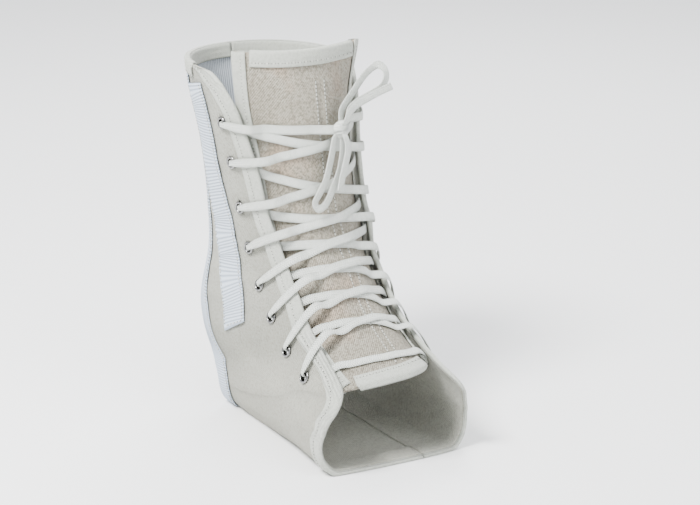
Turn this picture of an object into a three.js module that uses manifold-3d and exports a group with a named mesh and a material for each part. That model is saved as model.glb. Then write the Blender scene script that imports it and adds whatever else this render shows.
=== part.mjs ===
// A lace-up canvas ankle brace for the right foot: two side panels that meet under the arch, a tongue,
// bound edges, webbing over the ankles, sixteen eyelets and a flat lace tied in a bow.
// Millimetres. +X points to the toes, +Y to the inner side of the foot, +Z up. The origin lies on the
// flat underside, below the ankle.
import * as THREE from 'three';
import { mergeVertices } from 'three/addons/utils/BufferGeometryUtils.js';
import Module from 'manifold-3d';

const wasm = await Module();
wasm.setup();

// The foot form: sections that fan out around a pivot above the arch, from the leg round to the toes
const PIVOT_X = 79;
const PIVOT_HEIGHT = 128;
const RISE = 80;            // leg above the pivot
const INSTEP = 60.45;       // pivot to the front of the foot
const REACH = 149.55;       // pivot to the back and the sole
const HALF_WIDTH = 35.6;
const SECTION_COLUMNS = ['rise', 'turn', 'front', 'back', 'outer', 'inner', 'taper', 'square'];
// rise, front, back, outer and inner are shares of the sizes above, turn is in degrees
const SECTIONS = [
  [1.00, 0, 1.24, 1.07, 1.10, 1.05, 0.00, 2.15],
  [0.625, 0, 1.14, 1.035, 1.04, 1.015, 0.00, 2.15],
  [0.25, 0, 1.06, 0.99, 0.92, 0.96, 0.00, 2.15],
  [0, 6, 1.00, 0.97, 0.83, 1.00, 0.02, 2.2],
  [0, 18, 0.95, 1.02, 0.79, 1.08, 0.06, 2.25],
  [0, 30, 0.935, 1.21, 0.82, 1.11, 0.10, 2.35],
  [0, 42, 0.93, 1.25, 0.92, 1.145, 0.14, 2.5],
  [0, 54, 0.98, 1.08, 0.94, 1.085, 0.16, 2.6],
  [0, 66, 1.035, 0.95, 0.945, 1.03, 0.18, 2.6],
  [0, 78, 1.10, 0.875, 0.99, 1.00, 0.18, 2.6],
  [0, 90, 1.20, 0.855, 1.035, 1.00, 0.18, 2.6],
  [0, 102, 1.34, 0.86, 1.065, 1.005, 0.18, 2.6],
  [0, 114, 1.50, 0.88, 1.08, 1.00, 0.18, 2.6],
];

// Cloth and the clearances between its layers
const GAP = 0.3;
const LACE_GAP = 0.8;      // under and over the lace
const TONGUE_WALL = 1.6;
const PANEL_WALL = 1.6;
const TAPE_WALL = 1.0;
const WEBBING_WALL = 1.2;
const LACE_WIDTH = 5;
const LACE_WALL = 0.8;

// Levels of the layers outward from the form
const TONGUE_TAPE_IN = TONGUE_WALL + GAP;
const TONGUE_TAPE_OUT = TONGUE_TAPE_IN + TAPE_WALL;
const LACE_LOW = TONGUE_WALL + LACE_GAP + LACE_WALL / 2;
const LACE_HIGH = LACE_LOW + LACE_WALL + 1.5 * GAP;
const LACE_UNDER = TONGUE_TAPE_OUT + LACE_GAP + LACE_WALL / 2;
const PANEL_IN = LACE_UNDER + LACE_WALL / 2 + 2 * GAP;
const PANEL_OUT = PANEL_IN + PANEL_WALL;
const TAPE_IN = PANEL_OUT + 0.35;
const TAPE_OUT = TAPE_IN + TAPE_WALL;
const LACE_OVER = TAPE_OUT + LACE_GAP + LACE_WALL / 2 + 0.25;
const INNER_LEG_IN = -GAP - TAPE_WALL;

// Widths on the cloth
const FACING_WIDTH = 9;
const TOP_TAPE = 7.5;
const TONGUE_TAPE = 9;
const STAY_WIDTH = 23;
const BAND_WIDTH = 13;
const BAND_LIP = 3;         // of the rear band, past the panel's edge
const EYELET_HOLE = 4.2;
const EYELET_BARREL = 5;
const EYELET_FLANGE = 7.2;
const EYELET_RIM = 0.8;
const EYELET_SPREAD = REACH * 0.057;  // the most that an eyelet lies further in than the facing asks
const EDGE_LIFT = TAPE_OUT - PANEL_OUT; // the sole rises by this at its bound edges

// Places on the form are given as a station, the row of SECTIONS, and an angle from the front in
// degrees, negative on the outer side
const TOP_STATION = 0.56;
const TONGUE_TOP = 0.17;
const SEAM_SHIFT = 12;      // degrees that the seam under the sole lies to the inner side
const SEAM_SPLIT = 0.6;     // degrees between the two panels at that seam
const UNDERFOOT = 140;      // the angle at which the panel starts to turn under the sole
const SOLE_FLAT = [7.07, 10.24];
const SOLE_EDGE = 0.09;     // stations over which the sole rises to its bound edges

const EDGE_COLUMNS = ['rearStation', 'rear', 'frontStation', 'frontOuter', 'frontInner'];
// One row for each line across a side panel, from the top edge to the seam under the sole
const PANEL_EDGES = [
  [0.56, 128, 0.56, 86, 86],
  [0.74, 128, 0.58, 80, 80],
  [0.92, 128, 0.67, 74, 74],
  [1.20, 129, 0.83, 68, 68],
  [1.50, 130, 1.14, 61.5, 61],
  [1.85, 130, 1.55, 58, 57],
  [2.30, 130, 2.05, 54.5, 54],
  [2.75, 130, 2.60, 52, 52.5],
  [3.20, 129, 3.15, 51, 51],
  [3.65, 128, 3.80, 50, 50],
  [4.00, 127, 4.50, 46.5, 49],
  [4.33, 126, 5.25, 43, 47.5],
  [4.66, 122, 6.00, 41.5, 47],
  [4.98, 117, 6.75, 41.5, 48],
  [5.28, 112, 7.45, 44, 50],
  [5.56, 107.5, 8.10, 46.5, 52],
  [5.82, 104.5, 8.90, 47, 53],
  [6.05, 104, 9.70, 47.5, 54],
  [6.26, 107, 10.40, 49, 55.5],
  [6.43, 112, 10.90, 53, 59],
  [6.54, 119, 11.14, 62, 67],
  [6.61, 127, 11.14, 74, 77],
  [6.66, 136, 10.96, 86, 88],
  [6.70, 145, 10.78, 97, 98],
  [6.72, 154, 10.72, 112, 112],
  [6.73, 163, 10.72, 132, 132],
  [6.74, 172, 10.74, 156, 156],
  [6.74, 180, 10.75, 180, 180],
];

// Where each eyelet lies: the front edge's station, and the share of EYELET_SPREAD
const EYELET_COLUMNS = ['station', 'spread'];
const EYELETS = [
  [1.24, 0],
  [1.96, 0.35],
  [2.88, 0.60],
  [3.86, 0.85],
  [5.20, 0.95],
  [6.65, 0.85],
  [8.15, 0.55],
  [9.62, 0.25],
];

// The middle of the webbing over the ankle
const STAY_LINE = [
  [0.80, 101.5],
  [1.00, 101],
  [1.30, 99.5],
  [1.80, 100.5],
  [2.30, 101],
  [2.80, 97.5],
  [3.30, 94],
  [3.80, 93],
  [4.40, 88.5],
  [5.00, 85.5],
  [5.50, 85],
  [5.95, 87],
];

// The tongue's cut: half widths in degrees, and how far it stands off the leg at its inner top corner
const TONGUE_SIDES = [
  [0, 59, 59],
  [1.2, 63, 60],
  [2.4, 62, 62],
  [4.5, 60, 62],
  [7, 58, 62],
  [9.5, 58, 62],
  [12, 56, 60],
];
const TONGUE_END = 11.22;
const TONGUE_END_CURVE = 0.62;
const TONGUE_FLARE = 7;
const GORE_ARCH = 0.75;     // stations that the gore's lower edge rises in the middle
const GORE_LAST_ROW = 12;

// Number of facets
const TONGUE_ROWS = 24;
const GORE_COLUMNS = 8;
const ROUND_SIDES = 9;
const LACE_STEP = 10;
const PANEL_MIDDLE_COLUMNS = 5;
const SOLE_RIM = 15;        // from an edge under the sole to where the cloth lies flat
// Shares of the tongue's width at which its facets meet, closer together under its tapes
const TONGUE_CUTS = [0, 0.06, 0.12, 0.24, 0.37, 0.5, 0.63, 0.76, 0.88, 0.94, 1];

const SIDES = { lateral: -1, medial: 1 };

const canvas = new THREE.MeshStandardMaterial({ color: 0xc9cac1, roughness: 0.95 });
const facingCloth = new THREE.MeshStandardMaterial({ color: 0xd2d3ca, roughness: 0.95 });
const webbing = new THREE.MeshStandardMaterial({ color: 0xe2e6ee, roughness: 0.9 });
const twill = new THREE.MeshStandardMaterial({ color: 0xc9bcae, roughness: 0.95 });
const laceCloth = new THREE.MeshStandardMaterial({ color: 0xe6ebe5, roughness: 0.9 });
const nickel = new THREE.MeshStandardMaterial({ color: 0xb9bcc0, roughness: 0.3, metalness: 1 });

const brace = new THREE.Group();

// Curves through the rows of a table
function catmull(a, b, c, d, u) {
  return 0.5 * (2 * b + (c - a) * u + (2 * a - 5 * b + 4 * c - d) * u * u + (3 * b - a - 3 * c + d) * u ** 3);
}

function throughRows(table, row) {
  const last = table.length - 1;
  const clamped = Math.min(Math.max(row, 0), last - 1e-9);
  const first = Math.floor(clamped);
  const pick = (index) => table[Math.min(Math.max(index, 0), last)];
  const rows = [pick(first - 1), pick(first), pick(first + 1), pick(first + 2)];
  return rows[0].map((_, k) => catmull(rows[0][k], rows[1][k], rows[2][k], rows[3][k], clamped - first));
}

function named(columns, values) {
  return Object.fromEntries(columns.map((name, k) => [name, values[k]]));
}

// The row of a table at which its first column reaches a value
function rowOf(table, value, lastRow = table.length - 1) {
  let low = 0;
  let high = lastRow;
  for (let k = 0; k < 30; k += 1) {
    const middle = (low + high) / 2;
    if (throughRows(table, middle)[0] < value) low = middle;
    else high = middle;
  }
  return (low + high) / 2;
}

const smooth = (from, to, value) => THREE.MathUtils.smoothstep((value - from) / (to - from), 0, 1);

// A point of the form at a station and an angle, moved outward by a distance
function point([station, angle], outward) {
  const s = named(SECTION_COLUMNS, throughRows(SECTIONS, station));
  const a = THREE.MathUtils.degToRad(angle);
  const turn = THREE.MathUtils.degToRad(s.turn);
  const front = s.front * INSTEP;
  const back = s.back * REACH;
  const across = (Math.sin(a) < 0 ? s.outer : s.inner) * HALF_WIDTH + outward;
  const power = 2 / s.square;
  const along = -Math.sign(Math.cos(a)) * Math.abs(Math.cos(a)) ** power;
  const side = Math.sign(Math.sin(a)) * Math.abs(Math.sin(a)) ** power;
  const radius = (front + back) / 2 + ((back - front) / 2 + outward) * along;
  const x = PIVOT_X - radius * Math.cos(turn);
  const y = across * side * (1 + s.taper * along);
  const z = PIVOT_HEIGHT + s.rise * RISE - radius * Math.sin(turn);
  const bound = Math.max(
    smooth(SOLE_FLAT[0], SOLE_FLAT[0] - SOLE_EDGE, station),
    smooth(SOLE_FLAT[1], SOLE_FLAT[1] + SOLE_EDGE, station),
  );
  return new THREE.Vector3(x, y, Math.max(z, PANEL_OUT + EDGE_LIFT * bound - outward));
}

// The two directions in the surface at a place, for one station and for one degree, and the normal
function tangents([station, angle], outward = PANEL_OUT) {
  const ds = 0.02;
  const da = 0.5;
  const byStation = point([station + ds, angle], outward).sub(point([station - ds, angle], outward))
    .divideScalar(2 * ds);
  const byAngle = point([station, angle + da], outward).sub(point([station, angle - da], outward))
    .divideScalar(2 * da);
  const normal = byAngle.clone().cross(byStation).normalize();
  if (normal.dot(point([station, angle], outward + 1).sub(point([station, angle], outward))) < 0) {
    normal.negate();
  }
  return { byStation, byAngle, normal };
}

// Moves a place over the surface along a direction in space
function moved(place, direction, distance) {
  const steps = 4;
  let [station, angle] = place;
  for (let k = 0; k < steps; k += 1) {
    const { byStation, byAngle } = tangents([station, angle]);
    const aa = byStation.dot(byStation);
    const ab = byStation.dot(byAngle);
    const bb = byAngle.dot(byAngle);
    const da = direction.dot(byStation);
    const db = direction.dot(byAngle);
    const det = aa * bb - ab * ab;
    station += (distance / steps) * (da * bb - db * ab) / det;
    angle += (distance / steps) * (db * aa - da * ab) / det;
  }
  return [station, angle];
}

// A place at a distance from an edge, on the side where inner lies. The edge is a function of s.
function inset(edge, s, inner, distance, reach = 0.1) {
  const place = edge(s);
  const along = point(edge(s + reach), PANEL_OUT).sub(point(edge(s - reach), PANEL_OUT)).normalize();
  const inward = tangents(place).normal.clone().cross(along).normalize();
  if (inward.dot(point(inner, PANEL_OUT).sub(point(place, PANEL_OUT))) < 0) inward.negate();
  return moved(place, inward, distance);
}

// A place at a distance from an edge, on the line across the panel, so that a tape bends with the panel
function acrossRow(edge, s, inner, distance) {
  const place = edge(s);
  const start = point(place, PANEL_OUT);
  const at = (share) => place.map((value, k) => THREE.MathUtils.lerp(value, inner[k], share));
  const step = point(at(0.02), PANEL_OUT).sub(start);
  const along = point(edge(s + 0.1), PANEL_OUT).sub(point(edge(s - 0.1), PANEL_OUT)).normalize();
  const slope = Math.max(along.cross(step.clone().normalize()).length(), 0.75);
  const wanted = distance / slope;
  let share = 0.02 * wanted / step.length();
  share *= Math.abs(wanted) / Math.max(point(at(share), PANEL_OUT).distanceTo(start), 1e-6);
  return at(share);
}

// The angle of a panel's table entry, with the part under the sole stretched to the shifted seam
function sideAngle(side, angle) {
  if (angle <= UNDERFOOT) return side * angle;
  const room = 180 - UNDERFOOT;
  const end = side < 0 ? room + SEAM_SHIFT : room - SEAM_SHIFT - SEAM_SPLIT;
  return side * (UNDERFOOT + (angle - UNDERFOOT) * end / room);
}

function edgesAt(side, row) {
  const e = named(EDGE_COLUMNS, throughRows(PANEL_EDGES, row));
  const front = side < 0 ? e.frontOuter : e.frontInner;
  return { rear: [e.rearStation, sideAngle(side, e.rear)], front: [e.frontStation, sideAngle(side, front)] };
}

const LAST_ROW = PANEL_EDGES.length - 1;
const rearEdge = (side) => (row) => edgesAt(side, row).rear;
const frontEdge = (side) => (row) => edgesAt(side, row).front;
const frontStations = PANEL_EDGES.map((row) => [row[EDGE_COLUMNS.indexOf('frontStation')]]);
const fallsBack = ([station], k) => k > 0 && station <= frontStations[k - 1][0];
const LAST_RISING_ROW = frontStations.findIndex(fallsBack) - 2;
const frontRow = (station) => rowOf(frontStations, station, LAST_RISING_ROW);
const frontAngle = (side, station) => Math.abs(frontEdge(side)(frontRow(station))[1]);

// Meshes from points and faces, with the faces turned outward
function solid(points, triangles) {
  let volume = 0;
  for (const [a, b, c] of triangles) {
    volume += points[a].dot(points[b].clone().cross(points[c]));
  }
  const faces = volume > 0 ? triangles : triangles.map(([a, b, c]) => [a, c, b]);
  const geometry = new THREE.BufferGeometry();
  geometry.setAttribute('position', new THREE.Float32BufferAttribute(points.flatMap((p) => p.toArray()), 3));
  geometry.setIndex(faces.flat());
  geometry.computeVertexNormals();
  return geometry;
}

const evenCuts = (count) => Array.from({ length: count + 1 }, (_, k) => k / count);
const evenStops = (from, to, count) => evenCuts(count).map((share) => from + (to - from) * share);
// The rows from one to another, with every whole row between, so that tapes bend where the cloth bends
const rowStops = (from, to) => {
  const rows = Array.from({ length: LAST_ROW + 1 }, (_, k) => k);
  const between = rows.filter((k) => k > from + 0.1 && k < to - 0.1);
  return [from, ...between, to];
};

// A cloth wall: at(u, v) gives the place, with an inner and an outer level
function wall(rowCuts, cuts, at, inner, outer, lift = () => 0) {
  const rows = rowCuts.length - 1;
  const columns = cuts.length - 1;
  const points = [];
  for (const level of [outer, inner]) {
    for (let i = 0; i <= rows; i += 1) {
      for (let j = 0; j <= columns; j += 1) {
        const place = at(rowCuts[i], cuts[j]);
        points.push(point(place, level + lift(place)));
      }
    }
  }
  const across = columns + 1;
  const layer = (rows + 1) * across;
  const id = (k, i, j) => k * layer + i * across + j;
  const faces = [];
  const quad = (a, b, c, d) => faces.push([a, b, c], [a, c, d]);
  for (let i = 0; i < rows; i += 1) {
    for (let j = 0; j < columns; j += 1) {
      quad(id(0, i, j), id(0, i, j + 1), id(0, i + 1, j + 1), id(0, i + 1, j));
      quad(id(1, i + 1, j), id(1, i + 1, j + 1), id(1, i, j + 1), id(1, i, j));
    }
  }
  for (let i = 0; i < rows; i += 1) {
    quad(id(0, i, 0), id(0, i + 1, 0), id(1, i + 1, 0), id(1, i, 0));
    quad(id(0, i + 1, columns), id(0, i, columns), id(1, i, columns), id(1, i + 1, columns));
  }
  for (let j = 0; j < columns; j += 1) {
    quad(id(0, 0, j + 1), id(0, 0, j), id(1, 0, j), id(1, 0, j + 1));
    quad(id(0, rows, j), id(0, rows, j + 1), id(1, rows, j + 1), id(1, rows, j));
  }
  return solid(points, faces);
}

// A tape along a line: rings of points, one for each step, closed at both ends. The facets fold along
// one diagonal or, with crossed set, the other.
function lofted(rings, capShape, crossed = false) {
  const n = rings[0].length;
  const points = rings.flat();
  const faces = [];
  for (let k = 0; k + 1 < rings.length; k += 1) {
    for (let j = 0; j < n; j += 1) {
      const next = (j + 1) % n;
      const a = k * n + j;
      const b = k * n + next;
      if (crossed) faces.push([a, b, a + n], [b, b + n, a + n]);
      else faces.push([a, b, b + n], [a, b + n, a + n]);
    }
  }
  const caps = THREE.ShapeUtils.triangulateShape(capShape.map(([x, y]) => new THREE.Vector2(x, y)), []);
  const last = (rings.length - 1) * n;
  for (const [a, b, c] of caps) {
    faces.push([a, c, b], [a + last, b + last, c + last]);
  }
  return solid(points, faces);
}

function mesh(name, geometry, material) {
  const made = new THREE.Mesh(geometry, material);
  made.name = name;
  brace.add(made);
}

// Outlines of tapes, as distance from the edge and level, counter-clockwise
function flatOutline(from, to, low, high, parts) {
  const steps = Array.from({ length: parts + 1 }, (_, k) => from + (to - from) * k / parts);
  return [...steps.map((d) => [d, low]), ...steps.reverse().map((d) => [d, high])];
}

function cappedOutline(width, edgeLow, low, high) {
  const out = -GAP - TAPE_WALL;
  return [[out, edgeLow], [-GAP, edgeLow], [-GAP, low], [width, low], [width, high], [out, high]];
}

function foldedOutline(width, innerLow, innerHigh, low, high) {
  const out = -GAP - TAPE_WALL;
  return [[out, innerLow], [width / 2, innerLow], [width, innerLow], [width, innerHigh],
    [width / 2, innerHigh], [-GAP, innerHigh], [-GAP, low], [width / 2, low], [width, low],
    [width, high], [width / 2, high], [out, high]];
}

// A tape whose outline follows an edge through the given stops
function edging(edge, innerOf, stops, outline, reach = 0.1, lift = () => 0, crossed = false) {
  const placeAt = (s, d) => {
    if (reach > 0) return inset(edge, s, innerOf(s), d, reach);
    return acrossRow(edge, s, innerOf(s), d);
  };
  const rings = [];
  for (const s of stops) {
    const places = new Map();
    rings.push(outline.map(([d, level]) => {
      if (!places.has(d)) places.set(d, placeAt(s, d));
      return point(places.get(d), level + lift(places.get(d)));
    }));
  }
  return lofted(rings, outline, crossed);
}

function toManifold(geometry) {
  const bare = geometry.clone();
  bare.deleteAttribute('normal');
  bare.deleteAttribute('uv');
  const merged = mergeVertices(bare, 1e-4);
  return new wasm.Manifold(new wasm.Mesh({
    numProp: 3,
    vertProperties: new Float32Array(merged.attributes.position.array),
    triVerts: new Uint32Array(merged.index.array),
  }));
}

function fromManifold(body) {
  const { vertProperties, triVerts, numProp } = body.getMesh();
  const geometry = new THREE.BufferGeometry();
  const positions = [];
  for (let k = 0; k < vertProperties.length; k += numProp) {
    positions.push(vertProperties[k], vertProperties[k + 1], vertProperties[k + 2]);
  }
  geometry.setAttribute('position', new THREE.Float32BufferAttribute(positions, 3));
  geometry.setIndex(Array.from(triVerts));
  geometry.computeVertexNormals();
  return geometry;
}

// Round pieces, joined along their seams and turned to stand on the cloth
function standOn(geometry, place, level) {
  const up = tangents(place).normal;
  const turned = fromManifold(toManifold(geometry));
  turned.applyQuaternion(new THREE.Quaternion().setFromUnitVectors(new THREE.Vector3(0, 1, 0), up));
  const at = point(place, PANEL_OUT).addScaledVector(up, level - PANEL_OUT);
  turned.translate(at.x, at.y, at.z);
  return turned;
}

// Eyelets, seated from the front edge by the facing, their flange and a share of the spread
function eyeletPlace(side, index) {
  const { station, spread } = named(EYELET_COLUMNS, EYELETS[index]);
  const row = frontRow(station);
  const distance = FACING_WIDTH + GAP + EYELET_FLANGE / 2 + spread * EYELET_SPREAD;
  return inset(frontEdge(side), row, edgesAt(side, row).rear, distance);
}

const eyeletPlaces = Object.fromEntries(Object.entries(SIDES).map(([name, side]) => [
  name, EYELETS.map((_, index) => eyeletPlace(side, index)),
]));

function eyeletRing() {
  const hole = EYELET_HOLE / 2;
  const barrel = EYELET_BARREL / 2;
  const flange = EYELET_FLANGE / 2;
  const base = GAP * 1.5;
  const low = -PANEL_WALL;
  const profile = [[hole, low], [barrel, low], [barrel, base], [flange, base],
    [(flange + hole) / 2, base + EYELET_RIM], [hole, base], [hole, low]];
  return new THREE.LatheGeometry(profile.map(([x, y]) => new THREE.Vector2(x, y)), ROUND_SIDES);
}

// Side panels, with a hole for each eyelet
function sidePanel(side, places) {
  const rearOf = rearEdge(side);
  const frontOf = frontEdge(side);
  const cuts = [0, BAND_WIDTH - BAND_LIP, SOLE_RIM, ...evenCuts(PANEL_MIDDLE_COLUMNS).slice(1, -1),
    -SOLE_RIM, -FACING_WIDTH, 0];
  const at = (row, k) => {
    const fromRear = (distance) => acrossRow(rearOf, row, frontOf(row), distance);
    const fromFront = (distance) => acrossRow(frontOf, row, rearOf(row), distance);
    if (k === 0) return rearOf(row);
    if (k === cuts.length - 1) return frontOf(row);
    if (k <= 2) return fromRear(cuts[k]);
    if (k >= cuts.length - 3) return fromFront(-cuts[k]);
    const a = fromRear(SOLE_RIM);
    const b = fromFront(SOLE_RIM);
    return a.map((value, c) => THREE.MathUtils.lerp(value, b[c], cuts[k]));
  };
  let body = toManifold(wall(rowStops(0, LAST_ROW), cuts.map((_, k) => k), at, PANEL_IN, PANEL_OUT));
  const drillSides = 6;
  const holeRadius = (EYELET_BARREL / 2 + GAP) / Math.cos(Math.PI / drillSides);
  const drill = new THREE.CylinderGeometry(holeRadius, holeRadius, 4 * PANEL_WALL, drillSides);
  for (const place of places) {
    body = body.subtract(toManifold(standOn(drill, place, (PANEL_IN + PANEL_OUT) / 2)));
  }
  return fromManifold(body);
}

// A line at a drop below the top edge, as the row of an edge whose first column is the station
const STATION_HEIGHT = RISE * (SECTIONS[0][0] - SECTIONS[1][0]);
const BELOW_TOP_TAPE = TOP_STATION + (TOP_TAPE + GAP) / STATION_HEIGHT;

function buildSide(name, side) {
  const places = eyeletPlaces[name];
  mesh(`${name}_panel`, sidePanel(side, places), canvas);

  const rearOf = (row) => edgesAt(side, row).rear;
  const frontOf = (row) => edgesAt(side, row).front;
  const facing = cappedOutline(FACING_WIDTH, PANEL_IN, TAPE_IN, TAPE_OUT);
  const facingStops = rowStops(0.02, LAST_ROW);
  mesh(`${name}_facing`, edging(frontOf, rearOf, facingStops, facing, 0, () => 0, true), facingCloth);

  const topEdge = (angle) => [TOP_STATION, side * angle];
  const below = (angle) => [TOP_STATION + 1, side * angle];
  const topFold = foldedOutline(TOP_TAPE, PANEL_IN - GAP - TAPE_WALL, PANEL_IN - GAP, TAPE_IN, TAPE_OUT);
  const topFront = Math.abs(acrossRow(frontOf, 0.02, rearOf(0.02), FACING_WIDTH + 2 * GAP)[1]);
  const topBack = 180 - SEAM_SPLIT / 2;
  mesh(`${name}_top_binding`, edging(topEdge, below, evenStops(topFront, topBack, 10), topFold, 2), facingCloth);

  const stayLine = STAY_LINE.map(([station, angle]) => [station, side * angle]);
  const stayEdge = (row) => throughRows(stayLine, row);
  const behind = (row) => [stayEdge(row)[0], side * 150];
  const stay = flatOutline(-STAY_WIDTH / 2, STAY_WIDTH / 2, TAPE_IN + 0.15, TAPE_IN + 0.15 + WEBBING_WALL, 4);
  const stayTop = rowOf(STAY_LINE, BELOW_TOP_TAPE + 0.04);
  const stayStops = evenStops(stayTop, STAY_LINE.length - 1, 13);
  mesh(`${name}_stay_webbing`, edging(stayEdge, behind, stayStops, stay), webbing);

  const band = flatOutline(-BAND_LIP, BAND_WIDTH - BAND_LIP, TAPE_IN, TAPE_OUT, 3);
  const rearStations = PANEL_EDGES.map((row) => [row[EDGE_COLUMNS.indexOf('rearStation')]]);
  const bandTop = rowOf(rearStations, BELOW_TOP_TAPE + 0.02);
  mesh(`${name}_rear_binding`, edging(rearOf, frontOf, rowStops(bandTop, LAST_ROW), band, 0), webbing);

  const ring = eyeletRing();
  places.forEach((place, index) => {
    mesh(`${name}_eyelet_${index + 1}`, standOn(ring, place, PANEL_OUT), nickel);
  });
}

// The elastic gore between the rear edges, above the open heel
function gore() {
  const split = 0.7;
  const at = (row, v) => {
    const [station, outer] = edgesAt(-1, row).rear;
    const inner = edgesAt(1, row).rear[1];
    const from = outer - split;
    const to = inner - 360 + split;
    const arch = GORE_ARCH * (1 - (2 * v - 1) ** 2) * (row / GORE_LAST_ROW) ** 2;
    return [station - arch, THREE.MathUtils.lerp(from, to, v)];
  };
  return wall(rowStops(0, GORE_LAST_ROW), evenCuts(GORE_COLUMNS), at, PANEL_IN, PANEL_OUT);
}

// The tongue and its tapes
const tongueSide = (side, station) => {
  const row = rowOf(TONGUE_SIDES, station);
  return side * throughRows(TONGUE_SIDES, row)[side < 0 ? 1 : 2];
};
const tongueEnd = (angle) => TONGUE_END - TONGUE_END_CURVE * ((angle + 8) / 50) ** 2;
const flare = ([station, angle]) => TONGUE_FLARE * smooth(20, 62, angle) * smooth(1.15, 0.1, station);

function buildTongue() {
  const at = (u, v) => {
    const level = THREE.MathUtils.lerp(TONGUE_TOP, TONGUE_END, u);
    const outer = tongueSide(-1, level);
    const inner = tongueSide(1, level);
    const angle = THREE.MathUtils.lerp(outer, inner, v);
    return [THREE.MathUtils.lerp(TONGUE_TOP, tongueEnd(angle), u), angle];
  };
  mesh('tongue', wall(evenCuts(TONGUE_ROWS), TONGUE_CUTS, at, 0, TONGUE_WALL, flare), twill);

  const fold = foldedOutline(TONGUE_TAPE, INNER_LEG_IN, -GAP, TONGUE_TAPE_IN, TONGUE_TAPE_OUT);
  const middle = (s) => at(s, 0.5);
  for (const [name, side] of Object.entries(SIDES)) {
    const v = side < 0 ? 0 : 1;
    const edge = (s) => at(s, v);
    const sideTape = edging(edge, middle, evenCuts(TONGUE_ROWS), fold, 0.01, flare);
    mesh(`tongue_${name}_binding`, sideTape, facingCloth);
  }
  // The cross tapes lie between the side tapes
  const clear = TONGUE_TAPE + 2 * GAP;
  const endFold = foldedOutline(TOP_TAPE, INNER_LEG_IN, -GAP, TONGUE_TAPE_IN, TONGUE_TAPE_OUT);
  const across = (u) => {
    const width = point(at(u, 0), 0).distanceTo(point(at(u, 0.25), 0)) * 4;
    return clear / width;
  };
  const topEdge = (v) => at(0, v);
  const bottomEdge = (v) => at(1, v);
  const below = (v) => at(0.2, v);
  const above = (v) => at(0.8, v);
  const cutStops = (from) => [from, ...TONGUE_CUTS.filter((v) => v > from && v < 1 - from), 1 - from];
  const top = across(0.02);
  const end = across(0.98);
  mesh('tongue_top_binding', edging(topEdge, below, cutStops(top), endFold, 0.02, flare), facingCloth);
  mesh('tongue_bottom_binding', edging(bottomEdge, above, cutStops(end), endFold, 0.02), facingCloth);
}

// The lace: stations of a flat ribbon with its place, its normal and its width direction
const HOLE_WIDTH = 3.0;
const BAR = [[10.42, 0], [10.32, 20], [10.1, 38], [9.9, 52]];
const KNOT = [1.48, 14];
const KNOT_LEVEL = 9.3;
const KNOT_HALF = { along: 5.5, up: 5, out: 3.9 };
const BOW_WIDTH = 4;
const BOW_WALL = 1.6;
// The bow's loops and ends as points from the middle of the knot
const BOW_LOOP_UPPER = [[-0.6, 0.3, 2.8], [-1.4, 0.6, 6], [-2.3, 2, 10.5], [-1.7, 8.6, 19.6],
  [-1, 14.6, 27.5], [0.2, 19.1, 31.7], [1.4, 22.2, 33.4], [3.6, 24.7, 31.3], [5.2, 25, 27],
  [5.3, 22.4, 22.2], [3.6, 17.1, 18.5], [1.1, 10.8, 14.9], [-0.2, 5.6, 10.4], [0, 4.4, 6.4],
  [0.1, 2.4, 3.2]];
const LACE_END_UPPER = [[2, 0.6, 2.8], [4, 1, 5.4], [3.7, 3, 9.3], [4.7, 6.1, 13.1], [6.2, 10.3, 15.8],
  [8.4, 16.7, 19.4], [11, 24.8, 23.1]];
const BOW_LOOP_LOWER = [[0.4, -2.3, -2.2], [0.8, -4.6, -4.6], [2, -6.6, -11], [3.2, -9, -18],
  [4.2, -12, -26], [4.9, -16.5, -33], [5.4, -19.5, -37.5], [6, -17.5, -41], [6.3, -13, -38.5],
  [5.6, -8, -30], [4.4, -3.4, -21], [2.6, -0.6, -12], [1.6, 0, -6], [0.7, 0, -3]];
const LACE_END_LOWER = [[2.6, 0, -1.8], [4.8, 0, -3.6], [6.4, 0.6, -10], [8, -2.4, -19],
  [9, -4.8, -25.5], [9.8, -6.2, -31.5]];

function ribbonNode(place, level, next, sign, width) {
  const { normal } = tangents(place, level);
  const p = point(place, level);
  const along = point(next, level).sub(p).normalize();
  const n = normal.clone().multiplyScalar(sign);
  return { p, n, w: n.clone().cross(along).normalize(), width };
}

// Places along a straight line from one place to another, at even steps in millimetres
function between(from, to, step) {
  const length = point(from, LACE_UNDER).distanceTo(point(to, LACE_UNDER));
  const count = Math.max(2, Math.round(length * 1.15 / step));
  return Array.from({ length: count + 1 }, (_, k) => [
    THREE.MathUtils.lerp(from[0], to[0], k / count),
    THREE.MathUtils.lerp(from[1], to[1], k / count),
  ]);
}

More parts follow.
